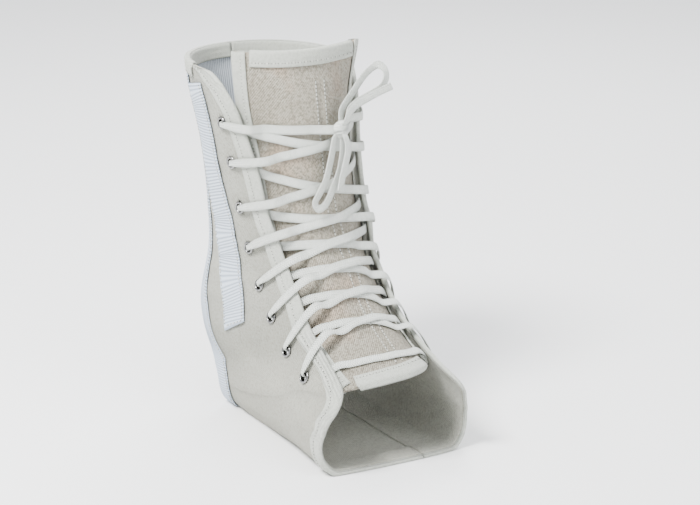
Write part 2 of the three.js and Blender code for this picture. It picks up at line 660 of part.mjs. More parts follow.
// The turn of the lace up through an eyelet, arriving from below along one direction and leaving over
// the cloth along another
function throughEyelet(place, arriving, leaving, sign) {
  const up = tangents(place).normal;
  const centre = point(place, PANEL_OUT);
  const at = (level, shift) => centre.clone().addScaledVector(up, level - PANEL_OUT).add(shift);
  const into = arriving.clone().addScaledVector(up, -arriving.dot(up)).normalize();
  const away = leaving.clone().addScaledVector(up, -leaving.dot(up)).normalize();
  const w = up.clone().cross(into).add(up.clone().cross(away).negate()).normalize();
  const rounded = (a, b) => a.clone().add(b).normalize();
  const across = w.clone().multiplyScalar(sign);
  const node = (p, n) => ({ p, n: n.multiplyScalar(sign), w: across.clone(), width: HOLE_WIDTH });
  const bend = LACE_WALL;
  const before = (share) => into.clone().multiplyScalar(-share * bend);
  const after = (share) => away.clone().multiplyScalar(share * bend);
  const outward = into.clone().negate();
  const down = up.clone().negate();
  return [
    node(at(LACE_UNDER, before(2.4)), up.clone()),
    node(at(LACE_UNDER + 0.3 * bend, before(0.3)), rounded(up, outward)),
    node(at(PANEL_IN + 0.2 * PANEL_WALL, before(0)), outward.clone()),
    node(at(LACE_OVER - bend, after(0)), away.clone()),
    node(at(LACE_OVER - 0.2 * bend, after(0.3)), rounded(away, down)),
    node(at(LACE_OVER, after(2.4)), down.clone()),
  ];
}

// The level of a strand by its distance from the eyelet it leaves and the one it reaches
function strandLevel(fromStart, toEnd, ownEdge, farEdge, high) {
  const down = smooth(ownEdge + 3, ownEdge + 12, fromStart);
  const under = smooth(farEdge + 10, farEdge + 4, toEnd);
  const crossing = high * smooth(15, 7, Math.abs(fromStart - toEnd) / 2);
  const floor = LACE_LOW + crossing * (LACE_HIGH - LACE_LOW);
  return THREE.MathUtils.lerp(THREE.MathUtils.lerp(LACE_OVER, floor, down), LACE_UNDER, under);
}

function distances(places) {
  const sums = [0];
  for (let k = 1; k < places.length; k += 1) {
    sums.push(sums[k - 1] + point(places[k], LACE_UNDER).distanceTo(point(places[k - 1], LACE_UNDER)));
  }
  return sums;
}

function strand(from, to, side, sign, last) {
  const places = between(from, to, LACE_STEP);
  const sums = distances(places);
  const total = sums[sums.length - 1];
  const outside = ([station, angle]) => Math.abs(angle) < frontAngle(Math.sign(angle) || 1, station);
  const first = places.findIndex(outside);
  const final = places.findLastIndex(outside);
  const ownEdge = sums[Math.max(first, 0)];
  const farEdge = last ? -20 : total - sums[final];
  const nodes = [];
  const end = last ? places.length - 1 : places.length - 2;
  for (let k = 1; k <= end; k += 1) {
    let level = strandLevel(sums[k], total - sums[k], ownEdge, farEdge, side < 0 && !last ? 1 : 0);
    if (last) level = THREE.MathUtils.lerp(level, KNOT_LEVEL, smooth(16, 0, total - sums[k]));
    const grow = smooth(0, 10, Math.min(sums[k], last ? 10 : total - sums[k]));
    const width = THREE.MathUtils.lerp(HOLE_WIDTH, LACE_WIDTH, grow);
    const next = places[k + 1] ?? to.map((value, c) => 2 * value - places[k - 1][c]);
    nodes.push(ribbonNode(places[k], level, next, sign, width));
  }
  return nodes;
}

// One half of the lace, from the middle of the bar to the knot, as ribbon nodes
function halfLace(startSide) {
  const nodes = [];
  const first = eyeletPlaces[startSide < 0 ? 'lateral' : 'medial'][EYELETS.length - 1];
  const bar = [...BAR.map(([station, angle]) => [station, startSide * angle]), first];
  const barCurve = (row) => throughRows(bar, row);
  const steps = 12;
  let sign = 1;
  for (let k = 0; k < steps; k += 1) {
    const place = barCurve((bar.length - 1) * k / steps);
    const next = barCurve((bar.length - 1) * (k + 1) / steps);
    const level = THREE.MathUtils.lerp(LACE_LOW, LACE_UNDER, smooth(28, 41, Math.abs(place[1])));
    const width = THREE.MathUtils.lerp(LACE_WIDTH, HOLE_WIDTH, smooth(0.7, 1, k / steps));
    nodes.push(ribbonNode(place, level, next, sign, width));
  }
  let side = startSide;
  let from = first;
  let arriving = point(first, LACE_UNDER).sub(nodes[nodes.length - 1].p).normalize();
  for (let index = EYELETS.length - 1; index >= 0; index -= 1) {
    const last = index === 0;
    const to = last ? KNOT : eyeletPlaces[side < 0 ? 'medial' : 'lateral'][index - 1];
    const towards = between(from, to, LACE_STEP);
    const leaving = point(towards[1], LACE_UNDER).sub(point(from, LACE_UNDER)).normalize();
    nodes.push(...throughEyelet(from, arriving, leaving, sign));
    sign = -sign;
    nodes.push(...strand(from, to, side, sign, last));
    arriving = point(to, LACE_UNDER).sub(point(towards[towards.length - 2], LACE_UNDER)).normalize();
    from = to;
    side = -side;
  }
  return nodes;
}

function ribbon(nodes) {
  const rings = nodes.map(({ p, n, w, width }) => {
    const across = (a) => p.clone().addScaledVector(w, a * width / 2);
    const corner = (a, b) => across(a).addScaledVector(n, b * LACE_WALL / 2);
    return [corner(-1, -1), corner(1, -1), corner(1, 1), corner(-1, 1)];
  });
  return lofted(rings, [[-1, -1], [1, -1], [1, 1], [-1, 1]]);
}

function knot(clearance = 0) {
  const ball = new THREE.SphereGeometry(1, 10, 8);
  ball.scale(KNOT_HALF.along + clearance, KNOT_HALF.out + clearance, KNOT_HALF.up + clearance);
  return standOn(ball, KNOT, KNOT_LEVEL);
}

// What comes out of the knot ends at its surface
function clearOfKnot(geometry) {
  return fromManifold(toManifold(geometry).subtract(toManifold(knot(GAP))));
}

function lace() {
  const outer = halfLace(-1);
  const inner = halfLace(1).slice(1);
  const turned = outer.reverse().map((node) => ({ ...node, w: node.w.clone().negate() }));
  return clearOfKnot(ribbon([...turned, ...inner]));
}

// The bow: a knot, two loops and two ends
const knotCentre = point(KNOT, KNOT_LEVEL);
const knotOut = tangents(KNOT).normal;

function bowStrip(offsets, steps) {
  const route = new THREE.CatmullRomCurve3(offsets.map((p) => new THREE.Vector3(...p).add(knotCentre)));
  const sides = 6;
  const round = Array.from({ length: sides }, (_, k) => [
    Math.cos(2 * Math.PI * k / sides) * BOW_WIDTH / 2,
    Math.sin(2 * Math.PI * k / sides) * BOW_WALL / 2,
  ]);
  const rings = Array.from({ length: steps + 1 }, (_, k) => {
    const p = route.getPointAt(k / steps);
    const along = route.getTangentAt(k / steps);
    const w = knotOut.clone().cross(along).normalize();
    const n = along.clone().cross(w).normalize();
    return round.map(([a, b]) => p.clone().addScaledVector(w, a).addScaledVector(n, b));
  });
  return clearOfKnot(lofted(rings, round));
}

function buildBow() {
  mesh('bow_knot', knot(), laceCloth);
  mesh('bow_loop_upper', bowStrip(BOW_LOOP_UPPER, 15), laceCloth);
  mesh('bow_loop_lower', bowStrip(BOW_LOOP_LOWER, 15), laceCloth);
  mesh('lace_end_upper', bowStrip(LACE_END_UPPER, 7), laceCloth);
  mesh('lace_end_lower', bowStrip(LACE_END_LOWER, 7), laceCloth);
}

for (const [name, side] of Object.entries(SIDES)) buildSide(name, side);
mesh('achilles_gore', gore(), webbing);
buildTongue();
mesh('lace', lace(), laceCloth);
buildBow();

export default brace;
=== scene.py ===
"""A lace-up canvas ankle brace for the right foot: its cloth, tapes, webbing, eyelets, lace and bow, dressed
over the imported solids. Sizes are in millimetres until a mesh is made. Places on the form are given as a
station, the row of SECTIONS, and an angle from the front in degrees, negative on the outer side."""
import math

import bpy
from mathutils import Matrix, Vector, noise


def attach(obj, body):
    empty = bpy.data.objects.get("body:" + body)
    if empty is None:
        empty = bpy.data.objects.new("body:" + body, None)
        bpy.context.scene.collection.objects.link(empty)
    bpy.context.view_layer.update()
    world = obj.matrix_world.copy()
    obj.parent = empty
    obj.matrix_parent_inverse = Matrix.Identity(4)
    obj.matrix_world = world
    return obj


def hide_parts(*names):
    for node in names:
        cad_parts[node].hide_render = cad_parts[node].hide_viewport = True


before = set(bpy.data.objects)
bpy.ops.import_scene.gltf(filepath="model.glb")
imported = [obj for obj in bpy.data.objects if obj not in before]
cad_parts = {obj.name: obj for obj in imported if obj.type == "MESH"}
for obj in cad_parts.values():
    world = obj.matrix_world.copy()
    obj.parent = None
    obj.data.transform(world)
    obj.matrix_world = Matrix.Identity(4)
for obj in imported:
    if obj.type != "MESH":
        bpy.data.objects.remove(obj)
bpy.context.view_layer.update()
MM = 0.001

# The foot form, as the solids have it
PIVOT_X = 79
PIVOT_HEIGHT = 128
RISE = 80
INSTEP = 60.45
REACH = 149.55
HALF_WIDTH = 35.6
# rise, turn, front, back, outer, inner, taper, square
SECTIONS = [
    (1.00, 0, 1.24, 1.07, 1.10, 1.05, 0.00, 2.15),
    (0.625, 0, 1.14, 1.035, 1.04, 1.015, 0.00, 2.15),
    (0.25, 0, 1.06, 0.99, 0.92, 0.96, 0.00, 2.15),
    (0, 6, 1.00, 0.97, 0.83, 1.00, 0.02, 2.2),
    (0, 18, 0.95, 1.02, 0.79, 1.08, 0.06, 2.25),
    (0, 30, 0.935, 1.21, 0.82, 1.11, 0.10, 2.35),
    (0, 42, 0.93, 1.25, 0.92, 1.145, 0.14, 2.5),
    (0, 54, 0.98, 1.08, 0.94, 1.085, 0.16, 2.6),
    (0, 66, 1.035, 0.95, 0.945, 1.03, 0.18, 2.6),
    (0, 78, 1.10, 0.875, 0.99, 1.00, 0.18, 2.6),
    (0, 90, 1.20, 0.855, 1.035, 1.00, 0.18, 2.6),
    (0, 102, 1.34, 0.86, 1.065, 1.005, 0.18, 2.6),
    (0, 114, 1.50, 0.88, 1.08, 1.00, 0.18, 2.6),
]

# Walls, clearances and the levels of the layers outward from the form
GAP = 0.3
TAPE_GAP = 0.35
LACE_GAP = 0.8
TONGUE_WALL = 1.6
PANEL_WALL = 1.6
TAPE_WALL = 1.0
WEBBING_WALL = 1.2
LACE_WIDTH = 5
LACE_WALL = 0.8
TONGUE_TAPE_IN = TONGUE_WALL + GAP
TONGUE_TAPE_OUT = TONGUE_TAPE_IN + TAPE_WALL
LACE_LOW = TONGUE_WALL + LACE_GAP + LACE_WALL / 2
LACE_HIGH = LACE_LOW + LACE_WALL + 1.5 * GAP
LACE_UNDER = TONGUE_TAPE_OUT + LACE_GAP + LACE_WALL / 2
PANEL_IN = LACE_UNDER + LACE_WALL / 2 + 2 * GAP
PANEL_OUT = PANEL_IN + PANEL_WALL
TAPE_IN = PANEL_OUT + TAPE_GAP
TAPE_OUT = TAPE_IN + TAPE_WALL
LACE_OVER = TAPE_OUT + LACE_GAP + LACE_WALL / 2 + 0.25
EDGE_OUT = -GAP - TAPE_WALL
INNER_LEG_IN = EDGE_OUT

# Widths on the cloth
FACING_WIDTH = 9
TOP_TAPE = 7.5
TONGUE_TAPE = 9
STAY_WIDTH = 23
BAND_WIDTH = 13
BAND_LIP = 3
EYELET_HOLE = 4.2
EYELET_BARREL = 5
EYELET_FLANGE = 7.2
EYELET_RIM = 0.8
EYELET_SPREAD = REACH * 0.057
EDGE_LIFT = TAPE_OUT - PANEL_OUT

# Stitches, and how far they stand over the tape that they sink
STITCH_DIP = 0.28
STITCH_RISE = 0.16
STITCH_PITCH = 3.6
STITCH_LENGTH = 2.6
STITCH_WIDTH = 0.8
STITCH_THICK = 0.52
STITCH_MARGIN = 1.4

# The cut of the panels, the tongue and the gore
TOP_STATION = 0.56
BELOW_TOP_TAPE = TOP_STATION + (TOP_TAPE + GAP) / (RISE * (SECTIONS[0][0] - SECTIONS[1][0]))
TONGUE_TOP = 0.17
SEAM_SHIFT = 12
SEAM_SPLIT = 0.6
UNDERFOOT = 140
SOLE_FLAT = (7.07, 10.24)
SOLE_EDGE = 0.09
# rear station, rear angle, front station, outer front angle, inner front angle
PANEL_EDGES = [
    (0.56, 128, 0.56, 86, 86),
    (0.74, 128, 0.58, 80, 80),
    (0.92, 128, 0.67, 74, 74),
    (1.20, 129, 0.83, 68, 68),
    (1.50, 130, 1.14, 61.5, 61),
    (1.85, 130, 1.55, 58, 57),
    (2.30, 130, 2.05, 54.5, 54),
    (2.75, 130, 2.60, 52, 52.5),
    (3.20, 129, 3.15, 51, 51),
    (3.65, 128, 3.80, 50, 50),
    (4.00, 127, 4.50, 46.5, 49),
    (4.33, 126, 5.25, 43, 47.5),
    (4.66, 122, 6.00, 41.5, 47),
    (4.98, 117, 6.75, 41.5, 48),
    (5.28, 112, 7.45, 44, 50),
    (5.56, 107.5, 8.10, 46.5, 52),
    (5.82, 104.5, 8.90, 47, 53),
    (6.05, 104, 9.70, 47.5, 54),
    (6.26, 107, 10.40, 49, 55.5),
    (6.43, 112, 10.90, 53, 59),
    (6.54, 119, 11.14, 62, 67),
    (6.61, 127, 11.14, 74, 77),
    (6.66, 136, 10.96, 86, 88),
    (6.70, 145, 10.78, 97, 98),
    (6.72, 154, 10.72, 112, 112),
    (6.73, 163, 10.72, 132, 132),
    (6.74, 172, 10.74, 156, 156),
    (6.74, 180, 10.75, 180, 180),
]
# front edge's station, share of EYELET_SPREAD
EYELETS = [
    (1.24, 0),
    (1.96, 0.35),
    (2.88, 0.60),
    (3.86, 0.85),
    (5.20, 0.95),
    (6.65, 0.85),
    (8.15, 0.55),
    (9.62, 0.25),
]
STAY_LINE = [
    (0.80, 101.5),
    (1.00, 101),
    (1.30, 99.5),
    (1.80, 100.5),
    (2.30, 101),
    (2.80, 97.5),
    (3.30, 94),
    (3.80, 93),
    (4.40, 88.5),
    (5.00, 85.5),
    (5.50, 85),
    (5.95, 87),
]
# station, outer half width, inner half width in degrees
TONGUE_SIDES = [
    (0, 59, 59),
    (1.2, 63, 60),
    (2.4, 62, 62),
    (4.5, 60, 62),
    (7, 58, 62),
    (9.5, 58, 62),
    (12, 56, 60),
]
TONGUE_END = 11.22
TONGUE_END_CURVE = 0.62
TONGUE_FLARE = 7
GORE_ARCH = 0.75
GORE_LAST_ROW = 12
SIDES = {"lateral": -1, "medial": 1}


# Curves through the rows of a table
def catmull(a, b, c, d, u):
    return 0.5 * (2 * b + (c - a) * u + (2 * a - 5 * b + 4 * c - d) * u * u + (3 * b - a - 3 * c + d) * u**3)


def through_rows(table, row):
    last = len(table) - 1
    clamped = min(max(row, 0), last - 1e-9)
    first = int(clamped)
    rows = [table[min(max(k, 0), last)] for k in range(first - 1, first + 3)]
    return [catmull(*values, clamped - first) for values in zip(*rows)]


def row_of(table, value, last_row=None):
    low = 0
    high = len(table) - 1 if last_row is None else last_row
    for _ in range(30):
        middle = (low + high) / 2
        if through_rows(table, middle)[0] < value:
            low = middle
        else:
            high = middle
    return (low + high) / 2


def smooth(start, end, value):
    t = min(max((value - start) / (end - start), 0), 1)
    return t * t * (3 - 2 * t)


def mix(a, b, share):
    return a + (b - a) * share


def point(place, outward):
    """A point of the form, moved outward by a distance, in millimetres."""
    station, angle = place
    rise, turn, front, back, outer, inner, taper, square = through_rows(SECTIONS, station)
    a = math.radians(angle)
    turn = math.radians(turn)
    front *= INSTEP
    back *= REACH
    across = (outer if math.sin(a) < 0 else inner) * HALF_WIDTH + outward
    power = 2 / square
    along = -math.copysign(abs(math.cos(a)) ** power, math.cos(a))
    side = math.copysign(abs(math.sin(a)) ** power, math.sin(a))
    radius = (front + back) / 2 + ((back - front) / 2 + outward) * along
    z = PIVOT_HEIGHT + rise * RISE - radius * math.sin(turn)
    bound = max(
        smooth(SOLE_FLAT[0], SOLE_FLAT[0] - SOLE_EDGE, station),
        smooth(SOLE_FLAT[1], SOLE_FLAT[1] + SOLE_EDGE, station),
    )
    floor = PANEL_OUT + EDGE_LIFT * bound - outward
    return Vector((PIVOT_X - radius * math.cos(turn), across * side * (1 + taper * along), max(z, floor)))


def tangents(place, outward=PANEL_OUT):
    ds, da = 0.02, 0.5
    station, angle = place
    by_station = (point((station + ds, angle), outward) - point((station - ds, angle), outward)) / (2 * ds)
    by_angle = (point((station, angle + da), outward) - point((station, angle - da), outward)) / (2 * da)
    normal = by_angle.cross(by_station).normalized()
    if normal.dot(point(place, outward + 1) - point(place, outward)) < 0:
        normal.negate()
    return by_station, by_angle, normal


def moved(place, direction, distance):
    """A place moved over the surface along a direction in space."""
    steps = 4
    station, angle = place
    for _ in range(steps):
        by_station, by_angle, _normal = tangents((station, angle))
        aa = by_station.dot(by_station)
        ab = by_station.dot(by_angle)
        bb = by_angle.dot(by_angle)
        da = direction.dot(by_station)
        db = direction.dot(by_angle)
        det = aa * bb - ab * ab
        station += (distance / steps) * (da * bb - db * ab) / det
        angle += (distance / steps) * (db * aa - da * ab) / det
    return station, angle


def inset(edge, s, inner, distance, reach=0.1):
    """A place at a distance from an edge, square to it, on the side where inner lies."""
    place = edge(s)
    along = (point(edge(s + reach), PANEL_OUT) - point(edge(s - reach), PANEL_OUT)).normalized()
    inward = tangents(place)[2].cross(along).normalized()
    if inward.dot(point(inner, PANEL_OUT) - point(place, PANEL_OUT)) < 0:
        inward.negate()
    return moved(place, inward, distance)


def across_row(edge, s, inner, distance):
    """A place at a distance from an edge, on the line across the panel."""
    place = edge(s)
    start = point(place, PANEL_OUT)

    def at(share):
        return tuple(mix(value, inner[k], share) for k, value in enumerate(place))

    step = point(at(0.02), PANEL_OUT) - start
    along = (point(edge(s + 0.1), PANEL_OUT) - point(edge(s - 0.1), PANEL_OUT)).normalized()
    slope = max(along.cross(step.normalized()).length, 0.75)
    wanted = distance / slope
    share = 0.02 * wanted / step.length
    share *= abs(wanted) / max((point(at(share), PANEL_OUT) - start).length, 1e-6)
    return at(share)


def side_angle(side, angle):
    if angle <= UNDERFOOT:
        return side * angle
    room = 180 - UNDERFOOT
    end = room + SEAM_SHIFT if side < 0 else room - SEAM_SHIFT - SEAM_SPLIT
    return side * (UNDERFOOT + (angle - UNDERFOOT) * end / room)


LAST_ROW = len(PANEL_EDGES) - 1


def rear_edge(side):
    def edge(row):
        station, angle = through_rows(PANEL_EDGES, row)[:2]
        return station, side_angle(side, angle)
    return edge


def front_edge(side):
    def edge(row):
        values = through_rows(PANEL_EDGES, row)
        return values[2], side_angle(side, values[3] if side < 0 else values[4])
    return edge


FRONT_STATIONS = [(row[2],) for row in PANEL_EDGES]
LAST_RISING_ROW = 19


def front_row(station):
    return row_of(FRONT_STATIONS, station, LAST_RISING_ROW)


def front_angle(side, station):
    return abs(front_edge(side)(front_row(station))[1])


def stops(start, end, count):
    return [mix(start, end, k / count) for k in range(count + 1)]


# Meshes
STITCHES = []


def in_scene(name, data):
    obj = bpy.data.objects.new(name, data)
    bpy.context.scene.collection.objects.link(obj)
    return obj


def make_mesh(name, points, faces, uvs, cloth, *nodes):
    """A mesh from points in millimetres and one UV pair for each. The cloth is a material and its slot; the
    slot is not used.
    """
    material, slot = cloth
    data = bpy.data.meshes.new(name)
    data.from_pydata([tuple(p * MM) for p in points], [], faces)
    layer = data.uv_layers.new(name="UVMap")
    for loop in data.loops:
        layer.data[loop.index].uv = uvs[loop.vertex_index]
    data.polygons.foreach_set("use_smooth", [True] * len(data.polygons))
    data.materials.append(material)
    data.validate()
    obj = in_scene(name, data)
    fix_normals(obj)
    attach(obj, "root")
    if nodes:
        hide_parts(*nodes)
    return obj


def fix_normals(obj):
    """Turns the faces outward, by the sign of the volume that they close."""
    data = obj.data
    volume = 0
    for polygon in data.polygons:
        corners = [data.vertices[k].co for k in polygon.vertices]
        for b, c in zip(corners[1:], corners[2:]):
            volume += corners[0].dot(b.cross(c))
    if volume < 0:
        data.flip_normals()


def grid_uvs(grid):
    """Distances across and along a grid of points, in millimetres."""
    uvs = []
    middle = len(grid[0]) // 2
    along = 0
    for i, row in enumerate(grid):
        if i:
            along += (row[middle] - grid[i - 1][middle]).length
        across = [0]
        for a, b in zip(row, row[1:]):
            across.append(across[-1] + (b - a).length)
        uvs += [(value - across[middle], along) for value in across]
    return uvs


def wall(name, rows, columns, at, inner, outer, cloth, *nodes, shape=None, lift=None, holes=()):
    """A cloth wall between an inner and an outer level. shape and lift move both of its faces outward."""
    grids = []
    for level in (outer, inner):
        grid = []
        for i in rows:
            line = []
            for j in columns:
                place = at(i, j)
                rise = (shape(place, i, j) if shape else 0) + (lift(place) if lift else 0)
                line.append(point(place, level + rise))
            grid.append(line)
        grids.append(grid)
    points = [p for grid in grids for line in grid for p in line]
    uvs = grid_uvs(grids[0]) * 2
    across = len(columns)
    layer = len(rows) * across
    centres = [(centre, radius * radius) for centre, radius in holes]
    kept = set()
    for i in range(len(rows) - 1):
        for j in range(across - 1):
            middle = (grids[0][i][j] + grids[0][i + 1][j + 1]) / 2
            if not any((middle - c).length_squared < r2 for c, r2 in centres):
                kept.add((i, j))
    faces = []
    for i, j in sorted(kept):
        a = i * across + j
        b = a + 1
        c = a + across + 1
        d = a + across
        faces += [(a, b, c, d), (a + layer, d + layer, c + layer, b + layer)]
        sides = (
            ((i - 1, j), a, b),
            ((i, j + 1), b, c),
            ((i + 1, j), c, d),
            ((i, j - 1), d, a),
        )
        for neighbour, p, q in sides:
            if neighbour not in kept:
                faces.append((q, p, p + layer, q + layer))
    return make_mesh(name, points, faces, uvs, cloth, *nodes)


def rounded(outline, spacing=1.0, passes=2):
    """An outline of a tape with more points and softened corners."""
    dense = []
    for k, (d0, l0) in enumerate(outline):
        d1, l1 = outline[(k + 1) % len(outline)]
        count = max(1, round(math.hypot(d1 - d0, l1 - l0) / spacing))
        dense += [(mix(d0, d1, t / count), mix(l0, l1, t / count)) for t in range(count)]
    for _ in range(passes):
        neighbours = [(dense[k - 1], dense[k], dense[(k + 1) % len(dense)]) for k in range(len(dense))]
        dense = [tuple(0.25 * a + 0.5 * b + 0.25 * c for a, b, c in zip(*three)) for three in neighbours]
    return dense


def tube_faces(rings, sides, base=0, wrapped=False):
    """Faces between rings of points, and from the last ring to the first if wrapped."""
    faces = []
    for k in range(rings if wrapped else rings - 1):
        low = base + k * sides
        high = base + (k + 1) % rings * sides
        for j in range(sides):
            m = (j + 1) % sides
            faces.append((low + j, low + m, high + m, high + j))
    return faces


def end_faces(rings, sides, base=0):
    last = base + (rings - 1) * sides
    return [tuple(base + k for k in range(sides))[::-1], tuple(last + k for k in range(sides))]


def loft(name, rings, cloth, *nodes, uvs=None):
    """A closed tube through rings of points. Without UVs they are distances round and along it."""
    points = [p for ring in rings for p in ring]
    if uvs is None:
        uvs = []
        along = 0
        for k, ring in enumerate(rings):
            if k:
                along += (ring[0] - rings[k - 1][0]).length
            around = 0
            for j, p in enumerate(ring):
                if j:
                    around += (p - ring[j - 1]).length
                uvs.append((around, along))
    shape = (len(rings), len(rings[0]))
    return make_mesh(name, points, tube_faces(*shape) + end_faces(*shape), uvs, cloth, *nodes)


# Outlines of tapes, as distances from the edge inward and levels
def capped_outline(width, edge_low, low, high):
    return [(EDGE_OUT, edge_low), (-GAP, edge_low), (-GAP, low), (width, low), (width, high),
            (EDGE_OUT, high)]


def folded_outline(width, inner_low, inner_high, low, high):
    return [(EDGE_OUT, inner_low), (width, inner_low), (width, inner_high), (-GAP, inner_high), (-GAP, low),
            (width, low), (width, high), (EDGE_OUT, high)]


def flat_outline(start, end, low, high):
    return [(start, low), (end, low), (end, high), (start, high)]


def tape(name, edge, inner_of, steps, outline, cloth, node, dips, seam, reach=0.1, lift=None, rows=False):
    """A tape along an edge. It is sewn at the distances in dips over the steps in seam, and its outer face
    sinks there. Its width is square to the edge, or with rows it follows the line across the panel."""
    def place_at(s, distance):
        inner = inner_of(s)
        return across_row(edge, s, inner, distance) if rows else inset(edge, s, inner, distance, reach)

    face_depth = 0.45
    shape = rounded(outline)
    top = max(level for _, level in shape)
    rings = []
    for s in steps:
        places = {}
        ring = []
        for d, level in shape:
            key = round(d, 3)
            if key not in places:
                places[key] = place_at(s, d)
            sink = 0
            if top - level <= face_depth:
                sink = sum(STITCH_DIP * math.exp(-((d - dip) / 0.7) ** 2) for dip in dips)
            puff = 0
            if top - level < face_depth:
                puff = 0.1 * noise.noise(Vector((s * 9.1, d * 0.35, level)))
            ring.append(point(places[key], level - sink + puff + (lift(places[key]) if lift else 0)))
        rings.append(ring)
    loft(name, rings, cloth, node)
    level = max(level for _, level in outline) - STITCH_DIP + STITCH_RISE
    for dip in dips:
        stitch_line([place_at(s, dip) for s in seam], level, lift)


def stitch_line(places, level, lift=None, pitch=STITCH_PITCH):
    """Marks a row of stitches along a list of places."""
    line = [(point(p, level + (lift(p) if lift else 0)), p) for p in places]
    travelled = 0
    wanted = pitch / 2
    for (a, pa), (b, _) in zip(line, line[1:]):
        length = (b - a).length
        while length > 1e-6 and travelled + length >= wanted:
            share = (wanted - travelled) / length
            STITCHES.append((a.lerp(b, share), (b - a).normalized(), tangents(pa)[2]))
            wanted += pitch
        travelled += length


def build_stitches():
    """All the stitches as one mesh of small spindles."""
    points = []
    faces = []
    uvs = []
    sides = 6
    sections = [(-0.5, 0.35), (-0.3, 0.9), (0.3, 0.9), (0.5, 0.35)]
    for centre, along, up in STITCHES:
        w = up.cross(along).normalized()
        n = along.cross(w).normalized()
        base = len(points)
        for t, share in sections:
            sag = STITCH_RISE if abs(t) > 0.4 else 0
            for k in range(sides):
                a = 2 * math.pi * k / sides
                aside = w * (math.cos(a) * STITCH_WIDTH / 2 * share)
                upward = n * (math.sin(a) * STITCH_THICK / 2 * share - sag)
                points.append(centre + along * (t * STITCH_LENGTH) + (aside + upward))
                # The second UV runs along the stitch; the thread material paints shade near its ends from it
                uvs.append((k / sides, t))
        faces += tube_faces(len(sections), sides, base) + end_faces(len(sections), sides, base)
    make_mesh("stitches", points, faces, uvs, thread)


# Materials
def new_material(name, roughness):
    made = bpy.data.materials.new(name)
    made.use_nodes = True
    tree = made.node_tree
    shader = tree.nodes["Principled BSDF"]
    shader.inputs["Roughness"].default_value = roughness
    return made, tree, shader


def add(tree, kind, **settings):
    node = tree.nodes.new(kind)
    for key, value in settings.items():
        setattr(node, key, value)
    return node


def maths(tree, operation, a, b=None, c=None):
    """A Math node. A number is typed in, a socket is linked."""
    node = add(tree, "ShaderNodeMath", operation=operation)
    for socket, value in zip(node.inputs, (a, b, c)):
        if value is None:
            continue
        if isinstance(value, (int, float)):
            socket.default_value = value
        else:
            tree.links.new(value, socket)
    return node.outputs[0]


def cloth_axes(tree):
    """The distances across and along the cloth, in millimetres."""
    uv = add(tree, "ShaderNodeUVMap")
    parts = add(tree, "ShaderNodeSeparateXYZ")
    tree.links.new(uv.outputs[0], parts.inputs[0])
    return parts.outputs[0], parts.outputs[1]


def wave(tree, value, pitch):
    """A sine of a distance, with one swing for each pitch."""
    return maths(tree, "SINE", maths(tree, "MULTIPLY", value, 2 * math.pi / pitch))


def spots(tree, scale, detail=2.0, stretch=(1, 1, 1)):
    """Noise over the object's own space, in metres."""
    coords = add(tree, "ShaderNodeTexCoord")
    mapping = add(tree, "ShaderNodeMapping")
    mapping.inputs["Scale"].default_value = stretch
    texture = add(tree, "ShaderNodeTexNoise")
    texture.inputs["Scale"].default_value = scale
    texture.inputs["Detail"].default_value = detail
    tree.links.new(coords.outputs["Object"], mapping.inputs[0])
    tree.links.new(mapping.outputs[0], texture.inputs["Vector"])
    return texture.outputs[0]


def ramp(tree, factor, *entries):
    """A colour from a factor through pairs of a position and a colour."""
    node = add(tree, "ShaderNodeValToRGB")
    elements = node.color_ramp.elements
    while len(elements) < len(entries):
        elements.new(0.5)
    for element, (position, colour) in zip(elements, entries):
        element.position = position
        element.color = (*colour, 1)
    tree.links.new(factor, node.inputs[0])
    return node.outputs[0]


def tint(tree, colour, factor, other, amount=1.0):
    """Mixes a colour towards another by a factor."""
    node = add(tree, "ShaderNodeMix", data_type="RGBA")
    tree.links.new(maths(tree, "MULTIPLY", factor, amount), node.inputs["Factor"])
    for socket, value in ((node.inputs[6], colour), (node.inputs[7], other)):
        if isinstance(value, tuple):
            socket.default_value = (*value, 1)
        else:
            tree.links.new(value, socket)
    return node.outputs[2]


def mask(tree, factor, low, high):
    """Black below one value of a factor and white above another."""
    return ramp(tree, factor, (low, (0, 0, 0)), (high, (1, 1, 1)))


def halved(tree, swing):
    """A wave from -1 to 1, brought to 0 to 1."""
    return maths(tree, "MULTIPLY_ADD", swing, 0.5, 0.5)


def cover(tree, shader, colour, *layers):
    """Links the base colour, and chains bump nodes of (height, depth in millimetres)."""
    tree.links.new(colour, shader.inputs["Base Color"])
    previous = None
    for height, depth in layers:
        node = add(tree, "ShaderNodeBump")
        node.inputs["Strength"].default_value = 1.0
        node.inputs["Distance"].default_value = depth * MM
        tree.links.new(height, node.inputs["Height"])
        if previous:
            tree.links.new(previous, node.inputs["Normal"])
        previous = node.outputs[0]
    tree.links.new(previous, shader.inputs["Normal"])


def sheen(shader, weight, roughness, colour):
    shader.inputs["Sheen Weight"].default_value = weight
    shader.inputs["Sheen Roughness"].default_value = roughness
    shader.inputs["Sheen Tint"].default_value = (*colour, 1)


# Colours, in linear light
CANVAS = (0.31, 0.31, 0.262)
CANVAS_LIGHT = (0.365, 0.365, 0.312)
CANVAS_DARK = (0.17, 0.17, 0.13)
FACING = (0.43, 0.45, 0.39)
FACING_LIGHT = (0.50, 0.51, 0.46)
FACING_DARK = (0.24, 0.25, 0.20)
WEBBING = (0.54, 0.61, 0.69)
# WEBBING_DARK and ELASTIC_DARK are the painted shade in the rib grooves, and the darker threads
WEBBING_DARK = (0.26, 0.31, 0.38)
ELASTIC = (0.46, 0.50, 0.54)
ELASTIC_DARK = (0.22, 0.25, 0.29)
TWILL = (0.33, 0.305, 0.235)
TWILL_LIGHT = (0.43, 0.40, 0.32)
TWILL_PINK = (0.47, 0.335, 0.23)
TWILL_DARK = (0.13, 0.11, 0.075)
LACE_COLOUR = (0.62, 0.65, 0.59)
LACE_LIGHT = (0.72, 0.74, 0.69)
LACE_DARK = (0.34, 0.36, 0.31)
SOIL = (0.33, 0.31, 0.24)
THREAD = (0.50, 0.51, 0.45)
